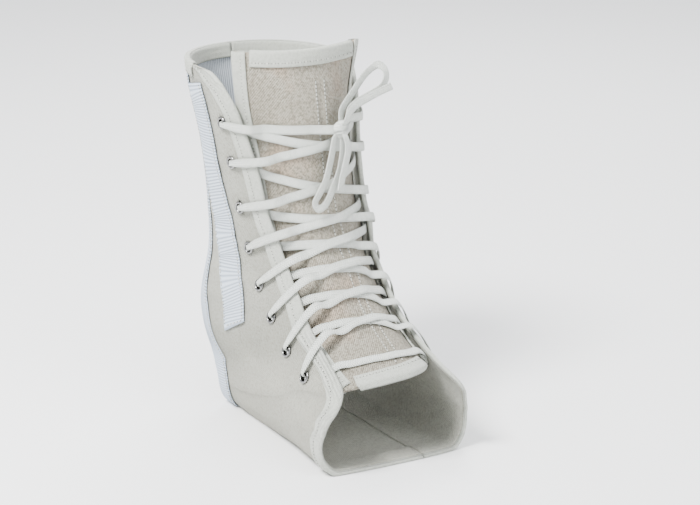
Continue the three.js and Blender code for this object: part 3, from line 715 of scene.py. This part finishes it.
THREAD_LIGHT = (0.62, 0.62, 0.56)
NICKEL = (0.17, 0.17, 0.165)
NICKEL_LIGHT = (0.36, 0.355, 0.345)
SHADE = (0.03, 0.03, 0.028)
FLOOR = (0.87, 0.87, 0.86)
FLOOR_LIGHT = (0.89, 0.89, 0.88)


def canvas_material():
    """Plain-woven canvas: threads over and under, slubs along them, and a little soiling."""
    made, tree, shader = new_material("canvas", 0.92)
    across, along = cloth_axes(tree)
    pitch = 1.5
    weave = maths(tree, "MULTIPLY", wave(tree, across, pitch), wave(tree, along, pitch))
    grain = spots(tree, 900, 3)
    slubs = spots(tree, 300, 3, (1, 1, 4))
    patches = spots(tree, 22, 4)
    soil = mask(tree, spots(tree, 9, 5), 0.42, 0.72)
    colour = ramp(tree, patches, (0.3, CANVAS), (0.7, CANVAS_LIGHT))
    colour = tint(tree, colour, halved(tree, weave), CANVAS_DARK, 0.22)
    colour = tint(tree, colour, mask(tree, grain, 0.45, 0.68), CANVAS_DARK, 0.6)
    colour = tint(tree, colour, mask(tree, slubs, 0.5, 0.8), CANVAS_DARK, 0.4)
    colour = tint(tree, colour, soil, SOIL, 0.3)
    cover(tree, shader, colour, (weave, 0.22), (slubs, 0.2), (patches, 0.5))
    sheen(shader, 0.15, 0.6, (1, 1, 0.97))
    return made


def tape_material():
    """Smooth woven tape with a fine chevron."""
    made, tree, shader = new_material("facing_cloth", 0.85)
    across, along = cloth_axes(tree)
    slope = maths(tree, "PINGPONG", across, 1.6)
    weave = wave(tree, maths(tree, "ADD", along, slope), 1.2)
    fuzz = spots(tree, 700, 3)
    wear = spots(tree, 30, 4)
    colour = ramp(tree, wear, (0.3, FACING), (0.75, FACING_LIGHT))
    colour = tint(tree, colour, halved(tree, weave), FACING_DARK, 0.16)
    colour = tint(tree, colour, mask(tree, fuzz, 0.45, 0.7), FACING_DARK, 0.4)
    cover(tree, shader, colour, (weave, 0.13), (fuzz, 0.1), (wear, 0.4))
    sheen(shader, 0.12, 0.6, (1, 1, 1))
    return made


def ribbed_material(name, colour, dark, pitch, depth, by_length=True):
    """Webbing or elastic: ribs across or along it, with fine threads on them, and painted shade in the
    grooves between the ribs.
    """
    made, tree, shader = new_material(name, 0.8)
    across, along = cloth_axes(tree)
    main, other = (along, across) if by_length else (across, along)
    ribs = maths(tree, "ABSOLUTE", wave(tree, main, 2 * pitch))
    threads = maths(tree, "MULTIPLY", wave(tree, other, 0.8), ribs)
    wear = spots(tree, 26, 4)
    tone = ramp(tree, wear, (0.3, colour), (0.8, tuple(min(1, c * 1.07) for c in colour)))
    # Painted shade: the grooves between the ribs are tinted towards the dark colour
    groove_shade = maths(tree, "SUBTRACT", 1, ribs)
    tone = tint(tree, tone, groove_shade, dark, 0.95)
    tone = tint(tree, tone, halved(tree, threads), dark, 0.12)
    cover(tree, shader, tone, (ribs, depth), (threads, 0.05))
    sheen(shader, 0.1, 0.5, (1, 1, 1))
    return made


def twill_material():
    """Soft twill with fine slanting wales, pinkish and tan patches."""
    made, tree, shader = new_material("twill", 0.92)
    across, along = cloth_axes(tree)
    wales = wave(tree, maths(tree, "ADD", across, maths(tree, "MULTIPLY", along, 0.8)), 1.35)
    cross = wave(tree, maths(tree, "SUBTRACT", along, across), 1.7)
    fuzz = spots(tree, 800, 3)
    patches = spots(tree, 16, 5)
    blots = spots(tree, 45, 3)
    colour = ramp(tree, patches, (0.42, TWILL), (0.52, TWILL_LIGHT), (0.61, TWILL_PINK))
    colour = tint(tree, colour, halved(tree, wales), TWILL_DARK, 0.34)
    colour = tint(tree, colour, halved(tree, cross), TWILL_DARK, 0.2)
    colour = tint(tree, colour, blots, TWILL_LIGHT, 0.35)
    colour = tint(tree, colour, mask(tree, fuzz, 0.44, 0.62), TWILL_DARK, 0.7)
    cover(tree, shader, colour, (wales, 0.24), (cross, 0.08), (fuzz, 0.14), (blots, 0.5))
    sheen(shader, 0.2, 0.5, (1, 0.96, 0.92))
    return made


def lace_material():
    """Flat woven lace: a chevron on each half of its width."""
    made, tree, shader = new_material("lace_cloth", 0.85)
    across, along = cloth_axes(tree)
    fold = maths(tree, "ABSOLUTE", across)
    chevron = wave(tree, maths(tree, "ADD", along, fold), 1.3)
    strands = wave(tree, across, 0.9)
    fuzz = spots(tree, 600, 2)
    colour = ramp(tree, fuzz, (0.35, LACE_COLOUR), (0.65, LACE_LIGHT))
    colour = tint(tree, colour, halved(tree, chevron), LACE_DARK, 0.35)
    cover(tree, shader, colour, (chevron, 0.2), (strands, 0.08), (fuzz, 0.08))
    sheen(shader, 0.15, 0.5, (1, 1, 1))
    return made


def thread_material():
    """Twisted thread, with painted shade at both ends of a stitch, in the needle holes where it goes into
    the cloth.
    """
    made, tree, shader = new_material("thread", 0.7)
    around, along = cloth_axes(tree)
    twist = wave(tree, maths(tree, "ADD", around, along), 0.25)
    colour = ramp(tree, spots(tree, 200, 2), (0.3, THREAD), (0.8, THREAD_LIGHT))
    # Painted shade in the needle holes at both ends of each stitch
    needle_hole_shade = mask(tree, maths(tree, "ABSOLUTE", along), 0.2, 0.32)
    colour = tint(tree, colour, needle_hole_shade, SHADE, 0.9)
    cover(tree, shader, colour, (twist, 0.05))
    return made


def nickel_material():
    """Nickel plate, a little scuffed, with painted shade in the bore, where the first UV is 1."""
    made, tree, shader = new_material("nickel", 0.3)
    shader.inputs["Metallic"].default_value = 1.0
    scuffs = spots(tree, 900, 4)
    bore_shade, _ = cloth_axes(tree)
    colour = ramp(tree, scuffs, (0.35, NICKEL), (0.75, NICKEL_LIGHT))
    # Painted shade: the bore is tinted almost black
    colour = tint(tree, colour, bore_shade, SHADE, 0.95)
    rough = maths(tree, "MULTIPLY_ADD", scuffs, 0.25, 0.1)
    tree.links.new(rough, shader.inputs["Roughness"])
    cover(tree, shader, colour, (scuffs, 0.03))
    return made


def floor_material():
    made, tree, shader = new_material("floor", 0.8)
    colour = ramp(tree, spots(tree, 3, 2), (0.2, FLOOR), (0.9, FLOOR_LIGHT))
    tree.links.new(colour, shader.inputs["Base Color"])
    return made


# Each material with the palette slot that it stands for
canvas = (canvas_material(), "canvas")
facing_cloth = (tape_material(), "facing_cloth")
webbing = (ribbed_material("webbing", WEBBING, WEBBING_DARK, 1.7, 0.45), "webbing")
elastic = (ribbed_material("elastic", ELASTIC, ELASTIC_DARK, 1.4, 0.4, by_length=False), "webbing")
twill = (twill_material(), "twill")
lace_cloth = (lace_material(), "lace_cloth")
thread = (thread_material(), "facing_cloth")
nickel = (nickel_material(), "nickel")


# Side panels
def eyelet_place(side, index):
    station, spread = EYELETS[index]
    row = front_row(station)
    distance = FACING_WIDTH + GAP + EYELET_FLANGE / 2 + spread * EYELET_SPREAD
    return inset(front_edge(side), row, rear_edge(side)(row), distance)


EYELET_PLACES = {side: [eyelet_place(side, k) for k in range(len(EYELETS))] for side in SIDES.values()}


# How far the canvas rises in creases, folds and waves, and sinks in a ring round each eyelet
CREASE_HEIGHT = 0.35
FOLD_HEIGHT = 0.32
WAVE_HEIGHT = 0.18
DIMPLE_DEPTH = 0.25
DIMPLE_RADIUS = 5


def panel_relief(side):
    """Soft wrinkles of the canvas where no tape lies on it, and dimples round the eyelets."""
    eyelets = [point(place, PANEL_OUT) for place in EYELET_PLACES[side]]

    def relief(place, _row, share):
        p = point(place, PANEL_OUT)
        free = smooth(0.10, 0.2, share) * smooth(0.97, 0.84, share)
        ankle = smooth(1.5, 3.5, place[0]) * smooth(7.4, 6.2, place[0])
        creases = noise.noise(Vector((p.x * 0.03, p.y * 0.03, p.z * 0.12)))
        folds = math.sin(p.z * 0.42 + 2.5 * noise.noise(Vector((p.x * 0.05, 3.1, p.z * 0.04))))
        value = free * (CREASE_HEIGHT * creases + ankle * (FOLD_HEIGHT * folds * max(0, 0.5 + creases)))
        value += free * WAVE_HEIGHT * noise.noise(p * 0.15)
        near = min((p - e).length for e in eyelets)
        value *= smooth(3.5, 9, near)
        value -= DIMPLE_DEPTH * math.exp(-((near - DIMPLE_RADIUS) / 1.6) ** 2) * free
        return min(value, 0.3) if free < 0.9 else value
    return relief


def build_panel(name, side):
    rear, front = rear_edge(side), front_edge(side)

    def at(row, share):
        a, b = rear(row), front(row)
        return tuple(mix(a[k], b[k], share) for k in (0, 1))

    rows = stops(0, LAST_ROW, 150)
    columns = stops(0, 1, 72)
    holes = [(point(place, PANEL_OUT), EYELET_BARREL / 2 + GAP) for place in EYELET_PLACES[side]]
    wall(f"{name}_canvas", rows, columns, at, PANEL_IN, PANEL_OUT, canvas, f"{name}_panel",
         shape=panel_relief(side), holes=holes)


def build_side_tapes(name, side):
    rear, front = rear_edge(side), front_edge(side)
    facing = capped_outline(FACING_WIDTH, PANEL_IN, TAPE_IN, TAPE_OUT)
    tape(f"{name}_facing_tape", front, rear, stops(0.02, LAST_ROW, 170), facing, facing_cloth,
         f"{name}_facing", [0.56 * FACING_WIDTH], stops(0.1, LAST_ROW - 0.1, 200), rows=True)

    def top_edge(angle):
        return TOP_STATION, side * angle

    def below(angle):
        return TOP_STATION + 1, side * angle

    start = abs(across_row(front, 0.02, rear(0.02), FACING_WIDTH + 2 * GAP)[1])
    fold = folded_outline(TOP_TAPE, PANEL_IN - GAP - TAPE_WALL, PANEL_IN - GAP, TAPE_IN, TAPE_OUT)
    tape(f"{name}_top_tape", top_edge, below, stops(start, 180 - SEAM_SPLIT / 2, 50), fold, facing_cloth,
         f"{name}_top_binding", [TOP_TAPE - STITCH_MARGIN], stops(start + 1, 179, 60), reach=2)

    rear_stations = [(row[0],) for row in PANEL_EDGES]
    band_top = row_of(rear_stations, BELOW_TOP_TAPE + 0.02)
    band = flat_outline(-BAND_LIP, BAND_WIDTH - BAND_LIP, TAPE_IN, TAPE_OUT)
    dips = [BAND_WIDTH - BAND_LIP - STITCH_MARGIN]
    tape(f"{name}_rear_band", rear, front, stops(band_top, LAST_ROW, 150), band, webbing,
         f"{name}_rear_binding", dips, stops(band_top + 0.1, LAST_ROW - 0.1, 180), rows=True)


STAY_LIFT = 0.15
STAY_STITCH_MARGIN = 2
STAY_END_LIFT = 0.22


def build_stay(name, side):
    """The webbing strip down the ankle, sewn along both sides and across its square lower end."""
    line = [(station, side * angle) for station, angle in STAY_LINE]

    def stay_edge(row):
        return tuple(through_rows(line, row))

    def behind(row):
        return stay_edge(row)[0], side * 150

    top = row_of(STAY_LINE, BELOW_TOP_TAPE + 0.04)
    low = TAPE_IN + STAY_LIFT
    outline = flat_outline(-STAY_WIDTH / 2, STAY_WIDTH / 2, low, low + WEBBING_WALL)
    sides = (-STAY_WIDTH / 2 + STAY_STITCH_MARGIN, STAY_WIDTH / 2 - STAY_STITCH_MARGIN)
    end = len(STAY_LINE) - 1.22
    tape(f"{name}_stay", stay_edge, behind, stops(top, len(STAY_LINE) - 1, 90), outline, webbing,
         f"{name}_stay_webbing", sides, stops(top + 0.1, end, 90))
    across = [inset(stay_edge, end, behind(end), distance) for distance in stops(*sides, 20)]
    stitch_line(across, low + WEBBING_WALL - STITCH_DIP + STITCH_RISE + STAY_END_LIFT)


def build_gore():
    """The elastic between the two rear bands. split is its angle from each panel's edge."""
    split = 0.7

    def at(row, share):
        station, outer = rear_edge(-1)(row)
        inner = rear_edge(1)(row)[1]
        arch = GORE_ARCH * (1 - (2 * share - 1) ** 2) * (row / GORE_LAST_ROW) ** 2
        return station - arch, mix(outer - split, inner - 360 + split, share)

    def relief(place, _row, share):
        p = point(place, PANEL_OUT)
        gather = math.sin(place[0] * 9 + 1.5 * noise.noise(p * 0.06))
        return 0.22 * gather * smooth(0.06, 0.2, share) * smooth(0.94, 0.8, share)

    wall("gore_elastic", stops(0, GORE_LAST_ROW, 70), stops(0, 1, 50), at, PANEL_IN, PANEL_OUT, elastic,
         "achilles_gore", shape=relief)


# Eyelets
def build_eyelets(name, side):
    hole, barrel, flange = EYELET_HOLE / 2, EYELET_BARREL / 2, EYELET_FLANGE / 2
    base = GAP * 1.5
    crown = (flange + hole) / 2
    profile = [
        (hole, -PANEL_WALL),
        (barrel, -PANEL_WALL),
        (barrel, base),
        (flange - 0.15, base),
        (flange, base + 0.12),
        (flange - 0.1, base + 0.35),
        (crown + 0.45, base + EYELET_RIM * 0.9),
        (crown, base + EYELET_RIM),
        (crown - 0.45, base + EYELET_RIM * 0.82),
        (hole + 0.1, base + 0.2),
        (hole, base - 0.2),
    ]
    sides = 32
    for index, place in enumerate(EYELET_PLACES[side]):
        up = tangents(place)[2]
        turn = Vector((0, 0, 1)).rotation_difference(up).to_matrix()
        centre = point(place, PANEL_OUT)
        points = []
        uvs = []
        for k in range(sides):
            a = 2 * math.pi * k / sides
            for r, h in profile:
                points.append(centre + turn @ Vector((r * math.cos(a), r * math.sin(a), h)))
                # The first UV is 1 on the bore, where the nickel material paints shade
                uvs.append((1 if r < hole + 0.15 else 0, k))
        faces = tube_faces(sides, len(profile), wrapped=True)
        number = index + 1
        make_mesh(f"{name}_ring_{number}", points, faces, uvs, nickel, f"{name}_eyelet_{number}")


# The tongue and its tapes
def tongue_side(side, station):
    row = row_of(TONGUE_SIDES, station)
    return side * through_rows(TONGUE_SIDES, row)[1 if side < 0 else 2]


def tongue_end(angle):
    return TONGUE_END - TONGUE_END_CURVE * ((angle + 8) / 50) ** 2


def flare(place):
    station, angle = place
    return TONGUE_FLARE * smooth(20, 62, angle) * smooth(1.15, 0.1, station)


def tongue_at(u, v):
    level = mix(TONGUE_TOP, TONGUE_END, u)
    angle = mix(tongue_side(-1, level), tongue_side(1, level), v)
    return mix(TONGUE_TOP, tongue_end(angle), u), angle


# The middle seam, by its share of the tongue's width of about this many millimetres
TONGUE_SPAN = 66
SEAM_SHARE = 0.56
SEAM_DEPTH = 0.45
SEAM_STITCH_PITCH = 2.2


def tongue_relief(place, u, v):
    """Small cross wrinkles, pulled by the lace, and the groove of the middle seam."""
    p = point(place, TONGUE_WALL)
    inside = smooth(0.13, 0.22, v) * smooth(0.87, 0.78, v) * smooth(0.03, 0.08, u) * smooth(0.97, 0.92, u)
    ripples = math.sin(u * 118 + 4 * noise.noise(Vector((p.x * 0.05, p.y * 0.05, p.z * 0.05))))
    strength = 0.5 + noise.noise(Vector((p.y * 0.07, p.z * 0.05, 2.7)))
    seam = math.exp(-(((v - SEAM_SHARE) * TONGUE_SPAN) / 1.1) ** 2)
    ridges = math.exp(-((abs(v - SEAM_SHARE) * TONGUE_SPAN - 2.6) / 1.2) ** 2)
    value = 0.2 * ripples * max(0, strength) + 0.18 * noise.noise(p * 0.09)
    return inside * (value * (1 - seam) - SEAM_DEPTH * seam + 0.16 * ridges)


def build_tongue():
    wall("tongue_twill", stops(0, 1, 190), stops(0, 1, 76), tongue_at, 0, TONGUE_WALL, twill, "tongue",
         shape=tongue_relief, lift=flare)
    fold = folded_outline(TONGUE_TAPE, INNER_LEG_IN, -GAP, TONGUE_TAPE_IN, TONGUE_TAPE_OUT)

    def middle(s):
        return tongue_at(s, 0.5)

    for name, side in SIDES.items():
        v = 0 if side < 0 else 1

        def edge(s, share=v):
            return tongue_at(s, share)

        tape(f"tongue_{name}_tape", edge, middle, stops(0, 1, 130), fold, facing_cloth,
             f"tongue_{name}_binding", [0.6 * TONGUE_TAPE], stops(0.012, 0.99, 130), reach=0.01, lift=flare)
    clear = TONGUE_TAPE + 2 * GAP
    fold = folded_outline(TOP_TAPE, INNER_LEG_IN, -GAP, TONGUE_TAPE_IN, TONGUE_TAPE_OUT)
    for name, u, inner, share in (("top", 0, 0.2, 0.02), ("bottom", 1, 0.8, 0.98)):
        width = (point(tongue_at(share, 0), 0) - point(tongue_at(share, 0.25), 0)).length * 4
        start = clear / width

        def edge(v, row=u):
            return tongue_at(row, v)

        def within(v, row=inner):
            return tongue_at(row, v)

        tape(f"tongue_{name}_tape", edge, within, stops(start, 1 - start, 50), fold, facing_cloth,
             f"tongue_{name}_binding", [0.66 * TOP_TAPE], stops(start + 0.01, 0.99 - start, 60), reach=0.02,
             lift=flare if u == 0 else None)
    for shift in (-2.1, 2.1):
        seam = [tongue_at(u, SEAM_SHARE + shift / TONGUE_SPAN) for u in stops(0.045, 0.955, 200)]
        stitch_line(seam, TONGUE_WALL + 0.1, flare, pitch=SEAM_STITCH_PITCH)


# The lace, as nodes of a flat ribbon: point, normal, width direction, width. BAR is its lowest stretch, and
# from there each half crosses from eyelet to eyelet up to the knot.
HOLE_WIDTH = 3.0
LACE_STEP = 5
STRAP_SIDES = 12
BAR = [(10.42, 0), (10.32, 20), (10.1, 38), (9.9, 52)]
KNOT = (1.48, 14)
KNOT_LEVEL = 9.3


def ribbon_node(place, level, onward, sign, width):
    p = point(place, level)
    along = (point(onward, level) - p).normalized()
    n = tangents(place, level)[2] * sign
    return p, n, n.cross(along).normalized(), width


def between(start, end):
    length = (point(start, LACE_UNDER) - point(end, LACE_UNDER)).length
    count = max(2, round(length * 1.15 / LACE_STEP))
    return [tuple(mix(a, b, k / count) for a, b in zip(start, end)) for k in range(count + 1)]


def through_eyelet(place, arriving, leaving, sign):
    """The turn of the lace up through an eyelet, from below and away over the cloth."""
    up = tangents(place)[2]
    centre = point(place, PANEL_OUT)
    into = (arriving - up * arriving.dot(up)).normalized()
    away = (leaving - up * leaving.dot(up)).normalized()
    w = (up.cross(into) - up.cross(away)).normalized() * sign
    bend = LACE_WALL

    def node(level, shift, n):
        return centre + up * (level - PANEL_OUT) + shift, n.normalized() * sign, w.copy(), HOLE_WIDTH

    return [
        node(LACE_UNDER, into * (-2.4 * bend), up),
        node(LACE_UNDER + 0.3 * bend, into * (-0.3 * bend), up - into),
        node(PANEL_IN + 0.2 * PANEL_WALL, away * 0.5, -into),
        node(LACE_OVER - bend, away, away),
        node(LACE_OVER - 0.2 * bend, away * (1 + 0.3 * bend), away - up),
        node(LACE_OVER, away * (1 + 2.4 * bend), -up),
    ]


def strand_level(from_start, to_end, own_edge, far_edge, high):
    """The level of a strand by its distance from the eyelet it leaves and the one it reaches."""
    down = smooth(own_edge + 3, own_edge + 12, from_start)
    under = smooth(far_edge + 10, far_edge + 4, to_end)
    crossing = high * smooth(15, 7, abs(from_start - to_end) / 2)
    floor = mix(LACE_LOW, LACE_HIGH, crossing)
    return mix(mix(LACE_OVER, floor, down), LACE_UNDER, under)


def strand(start, end, side, sign, last):
    """The lace from one eyelet to the next, or to the knot."""
    places = between(start, end)
    sums = [0]
    for a, b in zip(places, places[1:]):
        sums.append(sums[-1] + (point(b, LACE_UNDER) - point(a, LACE_UNDER)).length)
    total = sums[-1]
    outside = [abs(angle) < front_angle(math.copysign(1, angle), station) for station, angle in places]
    first = outside.index(True)
    final = len(places) - 1 - outside[::-1].index(True)
    far_edge = -20 if last else total - sums[final]
    high = 1 if side < 0 and not last else 0
    places.append(tuple(2 * b - a for a, b in zip(places[-2], end)))
    nodes = []
    for k in range(1, len(sums) if last else len(sums) - 1):
        to_end = total - sums[k]
        level = strand_level(sums[k], to_end, sums[first], far_edge, high)
        if last:
            level = mix(level, KNOT_LEVEL, smooth(16, 0, to_end))
        grow = smooth(0, 10, min(sums[k], 10 if last else to_end))
        nodes.append(ribbon_node(places[k], level, places[k + 1], sign, mix(HOLE_WIDTH, LACE_WIDTH, grow)))
    return nodes


def half_lace(start_side):
    """One half of the lace, from the middle of the bar to the knot."""
    nodes = []
    first = EYELET_PLACES[start_side][-1]
    bar = [(station, start_side * angle) for station, angle in BAR] + [first]
    steps = 20
    sign = 1
    for k in range(steps):
        place = tuple(through_rows(bar, (len(bar) - 1) * k / steps))
        onward = tuple(through_rows(bar, (len(bar) - 1) * (k + 1) / steps))
        level = mix(LACE_LOW, LACE_UNDER, smooth(28, 41, abs(place[1])))
        width = mix(LACE_WIDTH, HOLE_WIDTH, smooth(0.7, 1, k / steps))
        nodes.append(ribbon_node(place, level, onward, sign, width))
    side = start_side
    start = first
    arriving = (point(first, LACE_UNDER) - nodes[-1][0]).normalized()
    for index in range(len(EYELETS) - 1, -1, -1):
        last = index == 0
        end = KNOT if last else EYELET_PLACES[-side][index - 1]
        towards = between(start, end)
        leaving = (point(towards[1], LACE_UNDER) - point(start, LACE_UNDER)).normalized()
        nodes += through_eyelet(start, arriving, leaving, sign)
        sign = -sign
        nodes += strand(start, end, side, sign, last)
        arriving = (point(end, LACE_UNDER) - point(towards[-2], LACE_UNDER)).normalized()
        start = end
        side = -side
    return nodes


def strap_ring(p, n, w, width, wall):
    """A flat oval section with full edges."""
    ring = []
    for k in range(STRAP_SIDES):
        a = 2 * math.pi * k / STRAP_SIDES
        x = math.copysign(abs(math.cos(a)) ** 0.6, math.cos(a)) * width / 2
        y = math.copysign(abs(math.sin(a)) ** 0.7, math.sin(a)) * wall / 2
        ring.append(p + w * x + n * y)
    return ring


def strap_uvs(widths, steps):
    uvs = []
    along = 0
    for width, step in zip(widths, steps):
        along += step
        for k in range(STRAP_SIDES):
            a = 2 * math.pi * k / STRAP_SIDES
            uvs.append((math.cos(a) * width / 2, along))
    return uvs


def build_strap(name, nodes, wall, *replaced):
    """A flat lace through nodes, with extra sections between them along a smooth curve."""
    fine = []
    for k in range(len(nodes) - 1):
        around = [nodes[min(max(k + d, 0), len(nodes) - 1)] for d in (-1, 0, 1, 2)]
        parts = max(1, round((nodes[k + 1][0] - nodes[k][0]).length / 1.6))
        for t in range(parts):
            u = t / parts
            p = Vector([catmull(*(node[0][c] for node in around), u) for c in range(3)])
            n = nodes[k][1].lerp(nodes[k + 1][1], u).normalized()
            w = nodes[k][2].lerp(nodes[k + 1][2], u).normalized()
            fine.append((p, n, w, mix(nodes[k][3], nodes[k + 1][3], u)))
    fine.append(nodes[-1])
    rings = [strap_ring(p, n, w, width, wall) for p, n, w, width in fine]
    steps = [0] + [(b[0] - a[0]).length for a, b in zip(fine, fine[1:])]
    uvs = strap_uvs([node[3] for node in fine], steps)
    return loft(name, rings, lace_cloth, *replaced, uvs=uvs), [node[0] for node in fine]


def build_lace():
    outer = [(p, n, -w, width) for p, n, w, width in reversed(half_lace(-1))]
    inner = half_lace(1)[1:]
    build_strap("flat_lace", outer + inner, LACE_WALL, "lace")


# The bow: a wound knot, two loops and two ends, as points from the middle of the knot
KNOT_HALF = (5.5, 3.9, 5.0)
BOW_WIDTH = 4.4
BOW_WALL = 1.0
BOW_LOOP_UPPER = [(-0.6, 0.3, 2.8), (-1.4, 0.6, 6), (-2.3, 2, 10.5), (-1.7, 8.6, 19.6), (-1, 14.6, 27.5),
                  (0.2, 19.1, 31.7), (1.4, 22.2, 33.4), (3.6, 24.7, 31.3), (5.2, 25, 27), (5.3, 22.4, 22.2),
                  (3.6, 17.1, 18.5), (1.1, 10.8, 14.9), (-0.2, 5.6, 10.4), (0, 4.4, 6.4), (0.1, 2.4, 3.2)]
LACE_END_UPPER = [(2, 0.6, 2.8), (4, 1, 5.4), (3.7, 3, 9.3), (4.7, 6.1, 13.1), (6.2, 10.3, 15.8),
                  (8.4, 16.7, 19.4), (11, 24.8, 23.1)]
BOW_LOOP_LOWER = [(0.4, -2.3, -2.2), (0.8, -4.6, -4.6), (2, -6.6, -11), (3.2, -9, -18), (4.2, -12, -26),
                  (4.9, -16.5, -33), (5.4, -19.5, -37.5), (6, -17.5, -41), (6.3, -13, -38.5), (5.6, -8, -30),
                  (4.4, -3.4, -21), (2.6, -0.6, -12), (1.6, 0, -6), (0.7, 0, -3)]
LACE_END_LOWER = [(2.6, 0, -1.8), (4.8, 0, -3.6), (6.4, 0.6, -10), (8, -2.4, -19), (9, -4.8, -25.5),
                  (9.8, -6.2, -31.5)]
knot_centre = point(KNOT, KNOT_LEVEL)
knot_out = tangents(KNOT)[2]


def bow_nodes(offsets):
    route = [knot_centre + Vector(o) for o in offsets]
    nodes = []
    for k, p in enumerate(route):
        along = (route[min(k + 1, len(route) - 1)] - route[max(k - 1, 0)]).normalized()
        w = knot_out.cross(along).normalized()
        grow = smooth(0, 8, min((p - knot_centre).length - 2, 8))
        nodes.append((p, along.cross(w).normalized(), w, mix(0.7 * BOW_WIDTH, BOW_WIDTH, grow)))
    return nodes


def build_bow_piece(name, offsets, node):
    piece, path = build_strap(name, bow_nodes(offsets), BOW_WALL, node)


def build_knot():
    """The core of the knot with the lace wound over it."""
    across, out, up = KNOT_HALF
    turn = Vector((0, 1, 0)).rotation_difference(knot_out).to_matrix()
    points = []
    uvs = []
    rows, sides = 20, 28
    for i in range(rows + 1):
        b = math.pi * i / rows
        for k in range(sides):
            a = 2 * math.pi * k / sides
            direction = Vector((math.cos(a) * math.sin(b), math.cos(b), math.sin(a) * math.sin(b)))
            tilt = direction.x * 0.82 + direction.z * 0.57
            wrap = math.cos(tilt * 5.2) * 0.5 + 0.5
            lump = 0.90 + 0.10 * wrap + 0.03 * noise.noise(direction * 2.1)
            local = Vector((direction.x * across, direction.y * out, direction.z * up)) * lump
            points.append(knot_centre + turn @ local)
            uvs.append((tilt * 5, a * 4))
    make_mesh("knot", points, tube_faces(rows + 1, sides), uvs, lace_cloth, "bow_knot")


def build_bow():
    build_knot()
    build_bow_piece("upper_loop", BOW_LOOP_UPPER, "bow_loop_upper")
    build_bow_piece("lower_loop", BOW_LOOP_LOWER, "bow_loop_lower")
    build_bow_piece("upper_end", LACE_END_UPPER, "lace_end_upper")
    build_bow_piece("lower_end", LACE_END_LOWER, "lace_end_lower")


# Camera, floor and light
CAMERA_AZIMUTH = 60
CAMERA_ELEVATION = 16.5
CAMERA_TARGET = Vector((0, 0, 95))
CAMERA_DISTANCE = 1270.7
LENS = 118.3
SENSOR = 36
SHIFT = (0.0666, -0.0116)

# name, azimuth, elevation, distance and size in metres, power, colour
LIGHTS = [
    ("key", 10, 52, 1.1, 0.4, 36, (1, 1, 1)),
    ("fill", 110, 30, 1.3, 0.8, 8, (0.96, 0.98, 1)),
    ("rim", 230, 45, 1.2, 0.6, 12, (1, 1, 1)),
]
LIGHT_TARGET = Vector((0, 0, 0.1))
SKY = (0.93, 0.95, 1)
SKY_STRENGTH = 1.5


def direction_to(azimuth, elevation):
    a, e = math.radians(azimuth), math.radians(elevation)
    return Vector((math.sin(a) * math.cos(e), -math.cos(a) * math.cos(e), math.sin(e)))


def put(obj, location, back):
    """Places a camera or a light, turned away from the direction back."""
    obj.location = location
    obj.rotation_mode = "QUATERNION"
    obj.rotation_quaternion = (-back).to_track_quat("-Z", "Y")


def place_camera():
    data = bpy.data.cameras.new("camera")
    data.lens = LENS
    data.sensor_width = SENSOR
    data.shift_x, data.shift_y = SHIFT
    camera = in_scene("camera", data)
    back = direction_to(CAMERA_AZIMUTH, CAMERA_ELEVATION)
    put(camera, (CAMERA_TARGET + back * CAMERA_DISTANCE) * MM, back)
    bpy.context.scene.camera = camera


def area_light(name, azimuth, elevation, distance, size, power, colour):
    data = bpy.data.lights.new(name, "AREA")
    data.shape = "DISK"
    data.size = size
    data.energy = power
    data.color = colour
    back = direction_to(azimuth, elevation)
    put(in_scene(name, data), LIGHT_TARGET + back * distance, back)


def build_stage():
    half = 3
    corners = [(-half, -half, 0), (half, -half, 0), (half, half, 0), (-half, half, 0)]
    data = bpy.data.meshes.new("floor")
    data.from_pydata(corners, [], [(0, 1, 2, 3)])
    data.materials.append(floor_material())
    floor = in_scene("floor", data)
    world = bpy.data.worlds.new("world")
    world.use_nodes = True
    background = world.node_tree.nodes["Background"]
    background.inputs["Color"].default_value = (*SKY, 1)
    background.inputs["Strength"].default_value = SKY_STRENGTH
    bpy.context.scene.world = world
    for light in LIGHTS:
        area_light(*light)


place_camera()
build_stage()
build_bow()
build_lace()
for side_name, side_sign in SIDES.items():
    build_panel(side_name, side_sign)
    build_side_tapes(side_name, side_sign)
    build_stay(side_name, side_sign)
    build_eyelets(side_name, side_sign)
build_gore()
build_tongue()
build_stitches()
